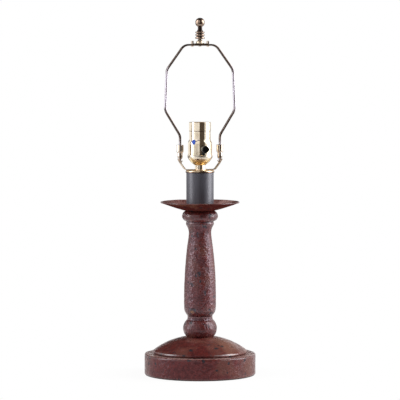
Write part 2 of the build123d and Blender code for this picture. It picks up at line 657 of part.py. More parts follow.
def shade_stud():
    seat_bottom = PLATE_TOP + PIVOT_END_PLAY
    head_top = STRIP_UNDERSIDE - PIVOT_END_PLAY
    head_bottom = head_top - PIVOT_HEAD_THICK
    head_edge = (PIVOT_HEAD_RADIUS, head_top)
    seat_edge = (SEAT_TOP_RADIUS, SEAT_TOP)
    outline = Outline((0, head_bottom))
    outline.rounded((PIVOT_HEAD_RADIUS, head_bottom), head_edge, PIVOT_HEAD_ROUND)
    outline.to(head_edge, (PIVOT_RADIUS, head_top), (PIVOT_RADIUS, seat_bottom))
    outline.rounded((SEAT_RADIUS, seat_bottom), seat_edge, SEAT_ROUND)
    outline.rounded(seat_edge, (STUD_RADIUS, SEAT_TOP), SEAT_ROUND).to((STUD_RADIUS, SEAT_TOP))
    outline.to((STUD_RADIUS, STUD_SHOULDER_TOP), (STUD_THREAD_RADIUS, STUD_SHOULDER_TOP))
    outline.rounded((STUD_THREAD_RADIUS, STUD_TOP), (0, STUD_TOP), STUD_ROUND).to((0, STUD_TOP))
    return outline.turned()


def finial():
    outline = Outline((FINIAL_BORE, FINIAL_BOTTOM))
    ring_edge = FINIAL_RING_RADIUS - FINIAL_RING_ROUND
    for bottom, top in FINIAL_RINGS:
        outline.to((FINIAL_GROOVE_RADIUS, bottom), (ring_edge, bottom))
        outline.arc((FINIAL_RING_RADIUS, (bottom + top) / 2), (ring_edge, top))
        outline.to((FINIAL_GROOVE_RADIUS, top))
    outline.arc(FINIAL_FLARE, (FINIAL_NECK_RADIUS, FINIAL_NECK_BOTTOM))
    drop = (FINIAL_BALL_RADIUS**2 - FINIAL_NECK_RADIUS**2) ** 0.5
    outline.to((FINIAL_NECK_RADIUS, FINIAL_BALL_MIDDLE - drop))
    ball_top = FINIAL_BALL_MIDDLE + FINIAL_BALL_RADIUS
    outline.arc((FINIAL_BALL_RADIUS, FINIAL_BALL_MIDDLE), (0, ball_top))
    outline.to((0, FINIAL_BORE_TOP + FINIAL_BORE / 2), (FINIAL_BORE, FINIAL_BORE_TOP))
    return outline.turned()


def ferrule():
    """The sleeve for a leg on the axis."""
    neck = FERRULE_NECK_RADIUS
    mouth = (FERRULE_BORE, FERRULE_TOP)
    outline = Outline((FERRULE_FOOT_BORE, FERRULE_BOTTOM)).to((FERRULE_FOOT_RADIUS, FERRULE_BOTTOM))
    outline.to((neck, FERRULE_STEP_BOTTOM), (neck, FERRULE_SHOULDER_BOTTOM))
    outline.s_bend((FERRULE_RADIUS, FERRULE_SHOULDER_TOP))
    outline.rounded((FERRULE_RADIUS, FERRULE_TOP), mouth, FERRULE_ROUND).to(mouth)
    outline.to((FERRULE_BORE, FERRULE_STEP_TOP), (FERRULE_FOOT_BORE, FERRULE_STEP_BOTTOM))
    return outline.turned()


NODES = {
    "felt_pad": felt_pad(),
    "base_disc": base_disc(),
    "cord_bushing": cord_bushing(),
    "base_dome": base_dome(),
    "spindle": spindle(),
    "lamp_pipe": lamp_pipe(),
    "base_washer": base_washer(),
    "base_nut": base_nut(),
    "candle_pan": candle_pan(),
    "candle_cover": candle_cover(),
    "cover_cap": cover_cap(),
    "harp_saddle": harp_saddle(),
    "socket_neck": socket_neck(),
    "neck_set_screw": neck_set_screw(),
    "socket_cap": socket_cap(),
    "socket_shell": socket_shell(),
    "shell_liner": shell_liner(),
    "socket_body": socket_body(),
    "terminal_screws": terminal_screws(),
    "screw_shell": screw_shell(),
    "centre_contact": centre_contact(),
    "switch_stem": switch_stem(),
    "turn_knob": turn_knob(),
    "harp": harp(),
    "harp_bracket": harp_bracket(),
    "ferrule_left": Pos(-LEG_X, 0, 0) * ferrule(),
    "ferrule_right": Pos(LEG_X, 0, 0) * ferrule(),
    "shade_stud": shade_stud(),
    "finial": finial(),
}

os.makedirs("parts", exist_ok=True)
for name, solid in NODES.items():
    export_step(solid, f"parts/{name}.step")
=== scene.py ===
"""Looks for a turned wooden table lamp with a candle pan, a bulb socket, a harp and a finial.

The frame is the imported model's: metres, +Z up, the harp in the XZ plane, the switch knob towards -Y.
The lamp's sizes below are millimetres, as on a turner's drawing, and its points are (radius, height).
The studio's sizes are metres. Bearings are degrees round from the front.
"""

from __future__ import annotations

import logging
import math
from collections.abc import Callable
from dataclasses import dataclass, replace
from enum import Enum
from typing import Any, Union

import bpy
from mathutils import Matrix, Vector, noise

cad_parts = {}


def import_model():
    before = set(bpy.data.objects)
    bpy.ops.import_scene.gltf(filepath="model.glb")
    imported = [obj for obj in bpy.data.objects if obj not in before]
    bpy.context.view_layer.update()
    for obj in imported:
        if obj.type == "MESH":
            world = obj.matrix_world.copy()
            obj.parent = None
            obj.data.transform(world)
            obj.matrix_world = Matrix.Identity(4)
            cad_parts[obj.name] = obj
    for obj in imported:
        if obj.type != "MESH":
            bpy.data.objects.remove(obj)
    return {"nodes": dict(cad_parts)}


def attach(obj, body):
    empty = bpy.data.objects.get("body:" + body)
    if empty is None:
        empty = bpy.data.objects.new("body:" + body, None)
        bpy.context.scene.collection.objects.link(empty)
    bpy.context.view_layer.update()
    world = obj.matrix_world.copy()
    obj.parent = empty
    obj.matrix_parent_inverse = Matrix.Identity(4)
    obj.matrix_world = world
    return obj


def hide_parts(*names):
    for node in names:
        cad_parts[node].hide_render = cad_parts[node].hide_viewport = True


LOG = logging.getLogger("lamp")
MM = 0.001
ON_AXIS = 0.001
FULL_TURN = 2 * math.pi
CREASE = math.radians(42.0)
BACK = 180.0
MEAN_NOISE = 0.5

Colour = tuple[float, float, float]
Point = tuple[float, float]
Span = tuple[float, float]
Operand = Union["Signal", float]
Sockets = dict[Union[str, int], Any]
WHITE: Colour = (1.0, 1.0, 1.0)


class Body(Enum):
    """The moving bodies that new pieces ride on."""

    LAMP = "lamp"
    KNOB = "knob"
    SWIVEL = "swivel"


class Slot(Enum):
    """The record's material slots that new pieces stand for; the pieces are not given them here."""

    WOOD = "red_painted_wood"
    PAN = "red_painted_metal"
    BRIGHT = "polished_brass"
    ANTIQUE = "antique_brass"
    KNOB = "knob_plastic"
    FELT = "felt"


class Push(Enum):
    """The way that a relief moves a turned surface."""

    NORMAL = "normal"
    RADIAL = "radial"


class Signal:
    """A shader socket that can stand in an expression, where each operator adds a Math node."""

    def __init__(self, graph: Graph, socket: bpy.types.NodeSocket | None) -> None:
        """Keeps the socket and the graph that it belongs to."""
        self.graph = graph
        self.socket = socket

    def math(self, operation: str, first: Operand, second: Operand = 0.0) -> Signal:
        """The result of a new Math node."""
        return self.graph.node("ShaderNodeMath", {"operation": operation}, {0: first, 1: second})

    def __add__(self, other: Operand) -> Signal:
        """Sum."""
        return self.math("ADD", self, other)

    def __radd__(self, other: Operand) -> Signal:
        """Sum with a number on the left."""
        return self.math("ADD", other, self)

    def __sub__(self, other: Operand) -> Signal:
        """Difference."""
        return self.math("SUBTRACT", self, other)

    def __rsub__(self, other: Operand) -> Signal:
        """Difference from a number on the left."""
        return self.math("SUBTRACT", other, self)

    def __mul__(self, other: Operand) -> Signal:
        """Product."""
        return self.math("MULTIPLY", self, other)

    def __rmul__(self, other: Operand) -> Signal:
        """Product with a number on the left."""
        return self.math("MULTIPLY", other, self)

    def most(self, other: Operand) -> Signal:
        """The larger of two values."""
        return self.math("MAXIMUM", self, other)


class Graph:
    """The node tree of one material or of the world."""

    def __init__(self, tree: bpy.types.NodeTree) -> None:
        """Clears the tree."""
        self.tree = tree
        self.tree.nodes.clear()

    @staticmethod
    def find(sockets: Any, name: str | int) -> bpy.types.NodeSocket:
        """Finds a socket.

        Args:
            sockets: A node's inputs or outputs.
            name: The socket's place, identifier or name.

        Returns:
            The socket.
        """
        if isinstance(name, int):
            return sockets[name]
        same = [s for s in sockets if s.identifier == name]
        return same[0] if same else sockets[name]

    def node(
        self,
        kind: str,
        settings: dict[str, Any] | None = None,
        inputs: Sockets | None = None,
        output: str | int = 0,
    ) -> Signal:
        """Adds a node.

        Args:
            kind: The node's type.
            settings: Its settings, which are set first.
            inputs: Values or signals of its sockets.
            output: The output that is wanted.

        Returns:
            That output as a signal.
        """
        made = self.tree.nodes.new(kind)
        for name, value in (settings or {}).items():
            setattr(made, name, value)
        for name, value in (inputs or {}).items():
            socket = self.find(made.inputs, name)
            if isinstance(value, Signal):
                self.tree.links.new(value.socket, socket)
            elif socket.type == "RGBA":
                socket.default_value = (*value, 1.0)
            else:
                socket.default_value = value
        return Signal(self, self.find(made.outputs, output) if made.outputs else None)

    def show(self, shader: Signal, kind: str = "Material") -> None:
        """Sends a shader to the output of the material or the world."""
        self.node(f"ShaderNodeOutput{kind}", inputs={"Surface": shader})

    def place(self) -> Signal:
        """The point on the piece at rest, in millimetres."""
        at = self.node("ShaderNodeTexCoord", output="Object")
        return self.node("ShaderNodeVectorMath", {"operation": "SCALE"}, {0: at, "Scale": 1 / MM})

    def axis(self, vector: Signal, name: str) -> Signal:
        """One coordinate of a vector."""
        return self.node("ShaderNodeSeparateXYZ", inputs={0: vector}, output=name)

    def stretch(self, vector: Signal, by: Colour) -> Signal:
        """A vector scaled along each axis."""
        return self.node("ShaderNodeVectorMath", {"operation": "MULTIPLY"}, {0: vector, 1: by})

    def cloud(self, at: Signal, size: float, detail: float = 2.0, rough: float = 0.5) -> Signal:
        """Soft noise with features of a size in millimetres."""
        inputs = {"Vector": at, "Scale": 1 / size, "Detail": detail, "Roughness": rough}
        return self.node("ShaderNodeTexNoise", inputs=inputs, output="Fac")

    def cells(self, at: Signal, size: float) -> Signal:
        """Distance to the nearest of scattered points, as a share of their spacing in millimetres."""
        inputs = {"Vector": at, "Scale": 1 / size}
        return self.node("ShaderNodeTexVoronoi", inputs=inputs, output="Distance")

    def step(self, value: Signal, span: Span) -> Signal:
        """A smooth step from 0 at the span's low end to 1 at its high end."""
        inputs = {"Value": value, "From Min": span[0], "From Max": span[1]}
        return self.node("ShaderNodeMapRange", {"interpolation_type": "SMOOTHSTEP"}, inputs)

    def mix(self, share: Operand, first: Signal | Colour, second: Signal | Colour) -> Signal:
        """A colour between two colours."""
        inputs = {"Factor_Float": share, "A_Color": first, "B_Color": second}
        return self.node("ShaderNodeMix", {"data_type": "RGBA"}, inputs, "Result_Color")

    def worn(self, name: str) -> Signal:
        """A measure that a turned mesh keeps at its points."""
        return self.node("ShaderNodeAttribute", {"attribute_name": name}, output="Fac")

    def bump(self, height: Signal, depth: float) -> Signal:
        """A normal from a height of 0 to 1 that is depth millimetres deep."""
        return self.node("ShaderNodeBump", inputs={"Distance": depth * MM, "Height": height})


def around(bearing: float, out: float, height: float) -> Vector:
    """A point at a bearing, at a distance from the lamp's axis and at a height."""
    angle = math.radians(bearing)
    return Vector((out * math.sin(angle), -out * math.cos(angle), height))


def hump(angle: float) -> float:
    """A wave that is 0 at each full turn of the angle and 1 halfway."""
    return (1 - math.cos(angle)) / 2


def new_material(name: str) -> tuple[bpy.types.Material, Graph]:
    """Makes an empty material.

    Args:
        name: Its name.

    Returns:
        The material and its graph.
    """
    made = bpy.data.materials.new(name)
    made.use_nodes = True
    return made, Graph(made.node_tree)


def stand(name: str, data: bpy.types.ID) -> bpy.types.Object:
    """Puts a new object into the scene.

    Args:
        name: Its name.
        data: Its mesh, light or camera.

    Returns:
        The object.
    """
    made = bpy.data.objects.new(name, data)
    bpy.context.scene.collection.objects.link(made)
    return made


class Finish:
    """What every finish shares: a named material with one principled surface."""

    name: str

    def make(self) -> bpy.types.Material:
        """Makes the material.

        Returns:
            The material.
        """
        material, graph = new_material(self.name)
        graph.show(graph.node("ShaderNodeBsdfPrincipled", inputs=self.sockets(graph)))
        return material

    def sockets(self, graph: Graph) -> Sockets:
        """The values and signals of the surface's sockets."""
        raise NotImplementedError


@dataclass(frozen=True)
class Chip:
    """A spot on the paint at a bearing, radius and height, with a ragged and soft edge: a chip of wear, a
    stain, painted light or a polished rub.
    """

    bearing: float
    out: float
    height: float
    size: float
    fade: float = 0.25
    edge: float = 0.85
    raggedness: float = 3.0

    def shows(self, graph: Graph, at: Signal, grain: Signal) -> Signal:
        """Draws the spot.

        Args:
            graph: The material's graph.
            at: The place on the piece.
            grain: A noise that breaks the edge.

        Returns:
            1 inside the spot and 0 outside.
        """
        middle = around(self.bearing, self.out, self.height)
        away = graph.node("ShaderNodeVectorMath", {"operation": "DISTANCE"}, {0: at, 1: middle}, "Value")
        away = away + (grain - MEAN_NOISE) * (self.size * self.raggedness)
        span = (self.size * (self.edge - self.fade), self.size * (self.edge + self.fade))
        return 1 - graph.step(away, span)


@dataclass(frozen=True)
class Band:
    """A stretch of a piece between two heights, with soft ends."""

    low: float
    high: float
    core: float = 0.5

    def shows(self, graph: Graph, at: Signal) -> Signal:
        """Draws the stretch.

        Args:
            graph: The material's graph.
            at: The place on the piece.

        Returns:
            1 in the stretch's middle, fading to 0 at its ends.
        """
        half = (self.high - self.low) / 2
        offset = graph.axis(at, "Z") - (self.low + half)
        return 1 - graph.step(offset.math("ABSOLUTE", offset), (half * self.core, half))


@dataclass(frozen=True)
class BarnRedPaint(Finish):
    """Red paint over a black undercoat on wood or sheet, scuffed and chipped, with a pebbled skin, painted
    sheen specks and dust, painted shade in its hollows and painted light in some stains.
    """

    name: str = "barn_red_paint"
    red: Colour = (0.122, 0.022, 0.019)
    deep: Colour = (0.064, 0.012, 0.011)
    brown: Colour = (0.130, 0.050, 0.032)
    scuff_and_sheen: Colour = (0.270, 0.185, 0.195)
    dust_and_sheen: Colour = (0.360, 0.215, 0.195)
    undercoat_and_shade: Colour = (0.012, 0.014, 0.019)
    bare_wood: Colour = (0.250, 0.105, 0.035)
    sheen_tint: Colour = (0.93, 0.84, 1.0)
    gloss: float = 0.20
    specular: float = 0.58
    coat_gloss: float = 0.16
    coat_ior: float = 1.8
    pebble_size: float = 6.2
    pebble_rough: float = 0.55
    pebble_depth: float = 2.4
    pebble_share: float = 0.6
    grit_size: float = 0.55
    patch_size: float = 29.0
    red_skin: Span = (0.36, 0.62)
    dull_skin: Span = (0.40, 0.58)
    dull_rise: float = 0.22
    brown_patches: Span = (0.50, 0.68)
    brown_share: float = 0.5
    stain_and_light_share: float = 0.7
    scuff_and_sheen_share: float = 0.25
    scuff_and_sheen_grit: Span = (0.56, 0.70)
    scuff_and_sheen_patches: Span = (0.34, 0.56)
    dust_and_sheen_share: float = 0.0
    dust_and_sheen_slopes: Span = (0.80, 0.95)
    dust_and_sheen_patches: Span = (0.70, 1.10)
    chip_spacing: float = 15.0
    chip_raggedness: float = 0.75
    chip_edge: Span = (0.12, 0.22)
    chip_share: float = 0.9
    chip_rise: float = 0.1
    chip_sink: float = 0.1
    knocked_size: float = 41.0
    knocked_detail: float = 1.0
    knocked_regions: Span = (0.43, 0.54)
    cavity_shade_share: float = 0.3
    polish: float = 0.55
    chips: tuple[Chip, ...] = ()
    bare: tuple[Chip, ...] = ()
    stains_and_painted_light: tuple[Chip, ...] = ()
    rubs: tuple[Chip, ...] = ()

    def sockets(self, graph: Graph) -> Sockets:
        """Lays the paint, wears it, knocks chips out of it and paints light and shade into it.

        Args:
            graph: The material's graph.

        Returns:
            The values and signals of the surface's sockets.
        """
        at = graph.place()
        pebbles = graph.cloud(at, self.pebble_size, rough=self.pebble_rough)
        grit = graph.cloud(at, self.pebble_size * self.grit_size)
        skin = pebbles * self.pebble_share + grit * (1 - self.pebble_share)
        patches = graph.cloud(at, self.patch_size)
        colour = graph.mix(graph.step(skin, self.red_skin), self.deep, self.red)
        colour = graph.mix(graph.step(patches, self.brown_patches) * self.brown_share, colour, self.brown)
        # Browner spots at listed places; on the pan and the dome they are partly or wholly painted light.
        for stain_and_light_spot in self.stains_and_painted_light:
            colour = graph.mix(stain_and_light_spot.shows(graph, at, patches) * self.stain_and_light_share, colour, self.brown)
        # Pale lavender specks on pebble tops: partly small scuffs, partly painted sheen glints standing in
        # for the highlights that the pebbles catch.
        high = graph.step(grit, self.scuff_and_sheen_grit) * graph.step(patches, self.scuff_and_sheen_patches)
        colour = graph.mix(high * self.scuff_and_sheen_share, colour, self.scuff_and_sheen)
        # Faces that look up take a paler dusty colour: partly dust, partly painted sheen where the tops
        # catch the room's light.
        facing = graph.axis(graph.node("ShaderNodeNewGeometry", output="Normal"), "Z")
        dust_and_sheen_mask = graph.step(facing, self.dust_and_sheen_slopes) * graph.step(patches + grit, self.dust_and_sheen_patches)
        colour = graph.mix(dust_and_sheen_mask * self.dust_and_sheen_share, colour, self.dust_and_sheen)
        spots = graph.cells(at, self.chip_spacing) + (grit - MEAN_NOISE) * self.chip_raggedness
        knocked = graph.cloud(at, self.knocked_size, self.knocked_detail)
        dark = (1 - graph.step(spots, self.chip_edge)) * graph.step(knocked, self.knocked_regions)
        for chip in self.chips:
            dark = dark.most(chip.shows(graph, at, grit))
        colour = graph.mix(dark * self.chip_share, colour, self.undercoat_and_shade)
        for chip in self.bare:
            colour = graph.mix(chip.shows(graph, at, grit) * self.chip_share, colour, self.bare_wood)
        # Painted shade: the hollows of the turning are darkened with the undercoat's colour.
        colour = graph.mix(graph.worn("cavity_shade") * self.cavity_shade_share, colour, self.undercoat_and_shade)
        dull = 1 - graph.step(skin, self.dull_skin)
        rubbed = graph.worn("wear") * self.polish
        if self.rubs:
            rubs = [rub.shows(graph, at, grit) for rub in self.rubs]
            rubbed = rubbed * sum(rubs[1:], rubs[0])
        return {
            "Base Color": colour,
            "Roughness": self.gloss + dull * self.dull_rise + dark * self.chip_rise,
            "Normal": graph.bump(skin - dark * self.chip_sink, self.pebble_depth),
            "Specular IOR Level": self.specular,
            "Specular Tint": self.sheen_tint,
            "Coat Weight": rubbed,
            "Coat Roughness": self.coat_gloss,
            "Coat IOR": self.coat_ior,
        }


@dataclass(frozen=True)
class CharcoalPaint(Finish):
    """Satin charcoal paint on a drawn tube, with faint upright draw lines."""

    name: str = "charcoal_paint"
    grey: Colour = (0.045, 0.044, 0.057)
    pale: Colour = (0.066, 0.064, 0.082)
    sheen_tint: Colour = (0.94, 0.93, 1.0)
    gloss: float = 0.34
    specular: float = 0.9
    line_stretch: Colour = (1.0, 1.0, 0.03)
    line_size: float = 1.2
    line_detail: float = 3.0
    line_rise: float = 0.10
    line_share: float = 0.5
    grain_size: float = 0.9
    relief: float = 0.02

    def sockets(self, graph: Graph) -> Sockets:
        """Draws the lines and the grain.

        Args:
            graph: The material's graph.

        Returns:
            The values and signals of the surface's sockets.
        """
        at = graph.place()
        lines = graph.cloud(graph.stretch(at, self.line_stretch), self.line_size, self.line_detail)
        grain = graph.cloud(at, self.grain_size)
        height = lines * self.line_share + grain * (1 - self.line_share)
        return {
            "Base Color": graph.mix(lines, self.grey, self.pale),
            "Roughness": self.gloss + lines * self.line_rise,
            "Normal": graph.bump(height, self.relief),
            "Specular IOR Level": self.specular,
            "Specular Tint": self.sheen_tint,
        }


@dataclass(frozen=True)
class PolishedBrass(Finish):
    """Lacquered brass with faint smudges, and with stretches painted darker or paler as painted shade and
    painted reflection.
    """

    name: str = "polished_brass"
    brass: Colour = (0.90, 0.79, 0.63)
    tarnish: Colour = (0.82, 0.68, 0.50)
    gloss: float = 0.06
    painted_light_and_shade_colour: Colour = (0.11, 0.070, 0.065)
    painted_light_and_shade_bands: tuple[Band, ...] = ()
    smudge_size: float = 9.0
    smudge_detail: float = 4.0
    smudges: Span = (0.45, 0.75)
    smudge_rise: float = 0.08

    def sockets(self, graph: Graph) -> Sockets:
        """Smudges the brass and paints shade and reflection onto its stretches.

        Args:
            graph: The material's graph.

        Returns:
            The values and signals of the surface's sockets.
        """
        at = graph.place()
        smudge = graph.cloud(at, self.smudge_size, self.smudge_detail)
        colour = graph.mix(graph.step(smudge, self.smudges), self.brass, self.tarnish)
        # Each stretch takes the band colour as painted shade or painted reflection.
        for band in self.painted_light_and_shade_bands:
            colour = graph.mix(band.shows(graph, at), colour, self.painted_light_and_shade_colour)
        return {
            "Base Color": colour,
            "Metallic": 1.0,
            "Roughness": self.gloss + smudge * self.smudge_rise,
        }


@dataclass(frozen=True)
class AntiqueBrass(Finish):
    """Brass darkened in its hollows as patina and in stretches as painted shade, and rubbed brighter on its
    high spots.
    """

    name: str = "antique_brass"
    dark: Colour = (0.022, 0.015, 0.013)
    rubbed: Colour = (0.42, 0.28, 0.19)
    hollow: float = 2.5
    brightness: float = 0.5
    gloss: float = 0.26
    painted_light_and_shade_bands: tuple[Band, ...] = ()
    mottle_size: float = 4.0
    mottle_detail: float = 4.0
    mottle_rough: float = 0.6
    mottle_share: float = 0.4
    mottle_rise: float = 0.14
    mottle_depth: float = 0.015
    high_spots: Span = (0.80, 1.15)

    def sockets(self, graph: Graph) -> Sockets:
        """Darkens the brass and rubs it.

        Args:
            graph: The material's graph.

        Returns:
            The values and signals of the surface's sockets.
        """
        at = graph.place()
        mottle = graph.cloud(at, self.mottle_size, self.mottle_detail, self.mottle_rough)
        reach = {"Distance": self.hollow * MM}
        open_air = graph.node("ShaderNodeAmbientOcclusion", inputs=reach, output="AO")
        bright = graph.step(open_air + mottle * self.mottle_share, self.high_spots) * self.brightness
        # Each stretch loses its brightness as painted shade.
        for band in self.painted_light_and_shade_bands:
            bright = bright * (1 - band.shows(graph, at))
        return {
            "Base Color": graph.mix(bright, self.dark, self.rubbed),
            "Metallic": 1.0,
            "Roughness": self.gloss + mottle * self.mottle_rise,
            "Normal": graph.bump(mottle, self.mottle_depth),
        }


@dataclass(frozen=True)
class PlainFinish(Finish):
    """A simple finish with a grain: plated steel, mouldings, card and sticker."""

    name: str
    base: Colour
    grain: Colour
    grain_size: float
    grain_depth: float
    gloss: float
    metal: float = 0.0
    specular: float = 0.5
    grain_detail: float = 4.0
    grain_rough: float = 0.6
    grain_rise: float = 0.08

    def sockets(self, graph: Graph) -> Sockets:
        """Grains the surface.

        Args:
            graph: The material's graph.

        Returns:
            The values and signals of the surface's sockets.
        """
        mottle = graph.cloud(graph.place(), self.grain_size, self.grain_detail, self.grain_rough)
        return {
            "Base Color": graph.mix(mottle, self.base, self.grain),
            "Metallic": self.metal,
            "Roughness": self.gloss + mottle * self.grain_rise,
            "Normal": graph.bump(mottle, self.grain_depth),
            "Specular IOR Level": self.specular,
        }


@dataclass(frozen=True)
class Felt(Finish):
    """Pressed wool felt."""

    name: str = "felt"
    base: Colour = (0.016, 0.009, 0.008)
    fibre: Colour = (0.052, 0.030, 0.024)
    fibre_lay: Colour = (1.0, 0.35, 1.0)
    fibre_size: float = 0.5
    fibre_detail: float = 5.0
    fibre_rough: float = 0.7
    fibre_share: float = 0.6
    fibre_depth: float = 0.25
    tuft_size: float = 3.0
    tuft_detail: float = 3.0
    tuft_share: float = 0.3
    gloss: float = 0.95
    sheen: float = 0.3

    def sockets(self, graph: Graph) -> Sockets:
        """Presses fibres and tufts.

        Args:
            graph: The material's graph.

        Returns:
            The values and signals of the surface's sockets.
        """
        at = graph.place()
        lying = graph.stretch(at, self.fibre_lay)
        fibres = graph.cloud(lying, self.fibre_size, self.fibre_detail, self.fibre_rough)
        tufts = graph.cloud(at, self.tuft_size, self.tuft_detail)
        pale = fibres * self.fibre_share + tufts * self.tuft_share
        return {
            "Base Color": graph.mix(pale, self.base, self.fibre),
            "Roughness": self.gloss,
            "Normal": graph.bump(fibres, self.fibre_depth),
            "Sheen Weight": self.sheen,
        }


@dataclass(frozen=True)
class HandWear:
    """Shallow dents and ripple left by tools and handling."""

    dent_size: float = 15.0
    dent_depth: float = 0.24
    ripple_size: float = 4.2
    ripple_depth: float = 0.09
    shift: float = 0.0

    def at(self, place: Vector) -> float:
        """Measures the wear.

        Args:
            place: A place on the surface.

        Returns:
            How far the surface stands out there, in millimetres.
        """
        move = Vector((self.shift, self.shift, self.shift))
        dents = noise.noise(place / self.dent_size + move) * self.dent_depth
        return dents + noise.noise(place / self.ripple_size - move) * self.ripple_depth


@dataclass(frozen=True)
class ScrewThread:
    """A right-handed thread that is cut or rolled between two heights."""

    pitch: float
    depth: float
    bottom: float
    top: float

    def at(self, place: Vector) -> float:
        """Measures the thread.

        Args:
            place: A place on the surface.

        Returns:
            How far the surface stands out there, in millimetres.
        """
        turn = math.atan2(place.y, place.x)
        run = min((place.z - self.bottom) / self.pitch, (self.top - place.z) / self.pitch, 1.0)
        return -self.depth * max(run, 0.0) * hump(FULL_TURN * place.z / self.pitch - turn)


def smooth_surface(place: Vector) -> float:
    """The relief of a surface that has none."""
    return 0.0


@dataclass
class Row:
    """One ring of a turned mesh, before it is turned."""

    radius: float
    height: float
    worked: bool


class Template:
    """A closed outline of a turning, drawn from point to point and divided into rows."""

    def __init__(self, start: Point, spacing: float) -> None:
        """Starts at a point, with the spacing of the rows in millimetres."""
        self.spacing = spacing
        self.rows = [Row(*start, False)]

    def here(self) -> Point:
        """The last point."""
        return self.rows[-1].radius, self.rows[-1].height

    def shares(self, length: float, least: int = 1) -> list[float]:
        """Even steps along a length, up to 1."""
        count = max(least, math.ceil(length / self.spacing))
        return [i / count for i in range(1, count + 1)]

    def add(self, radius: float, height: float) -> None:
        """Adds a worked row."""
        self.rows.append(Row(radius, height, True))

    def plain(self, *points: Point) -> Template:
        """Straight lines that nothing wears, with rows only at their ends."""
        self.rows += [Row(*point, False) for point in points]
        return self

    def to(self, *points: Point) -> Template:
        """Draws straight lines.

        Args:
            points: The points that they run to.

        Returns:
            This template.
        """
        for point in points:
            start = self.here()
            for share in self.shares(math.dist(start, point)):
                self.add(start[0] + (point[0] - start[0]) * share, start[1] + (point[1] - start[1]) * share)
        return self

    def arc(self, through: Point, end: Point) -> Template:
        """Draws an arc.

        Args:
            through: A point on the arc.
            end: Its end.

        Returns:
            This template.
        """
        (ax, ay), (bx, by), (cx, cy) = self.here(), through, end
        twice = 2 * (ax * (by - cy) + bx * (cy - ay) + cx * (ay - by))
        a2, b2, c2 = ax * ax + ay * ay, bx * bx + by * by, cx * cx + cy * cy
        mx = (a2 * (by - cy) + b2 * (cy - ay) + c2 * (ay - by)) / twice
        my = (a2 * (cx - bx) + b2 * (ax - cx) + c2 * (bx - ax)) / twice
        radius = math.dist((mx, my), self.here())
        first = math.atan2(ay - my, ax - mx)
        middle = (math.atan2(by - my, bx - mx) - first) % FULL_TURN
        sweep = (math.atan2(cy - my, cx - mx) - first) % FULL_TURN
        if middle > sweep:
            sweep -= FULL_TURN
        for share in self.shares(abs(sweep) * radius, 3):
            angle = first + sweep * share
            self.add(mx + radius * math.cos(angle), my + radius * math.sin(angle))
        return self

    def eased(self, corner: Point, end: Point) -> Template:
        """Rounds a square corner with a quarter circle.

        Args:
            corner: The corner.
            end: The point on its next side where the round ends.

        Returns:
            This template.
        """
        inset = 1 - math.sqrt(0.5)
        radius, height = (c + inset * (s + e - 2 * c) for c, s, e in zip(corner, self.here(), end))
        return self.arc((radius, height), end)

    def curve(self, *points: Point, leave: Point, arrive: Point) -> Template:
        """Draws a smooth curve.

        Args:
            points: The points that it goes through.
            leave: Its first direction.
            arrive: Its last direction.

        Returns:
            This template.
        """
        knots = [Vector(self.here()), *(Vector(p) for p in points)]
        slopes = [Vector(leave).normalized()]
        slopes += [(after - before).normalized() for before, after in zip(knots, knots[2:])]
        slopes.append(Vector(arrive).normalized())
        for i, (start, end) in enumerate(zip(knots, knots[1:])):
            length = (end - start).length
            for t in self.shares(length, 2):
                pull = start * (2 * t**3 - 3 * t**2 + 1) + end * (3 * t**2 - 2 * t**3)
                pull += slopes[i] * length * (t**3 - 2 * t**2 + t) + slopes[i + 1] * length * (t**3 - t**2)
                self.add(pull.x, pull.y)
        return self


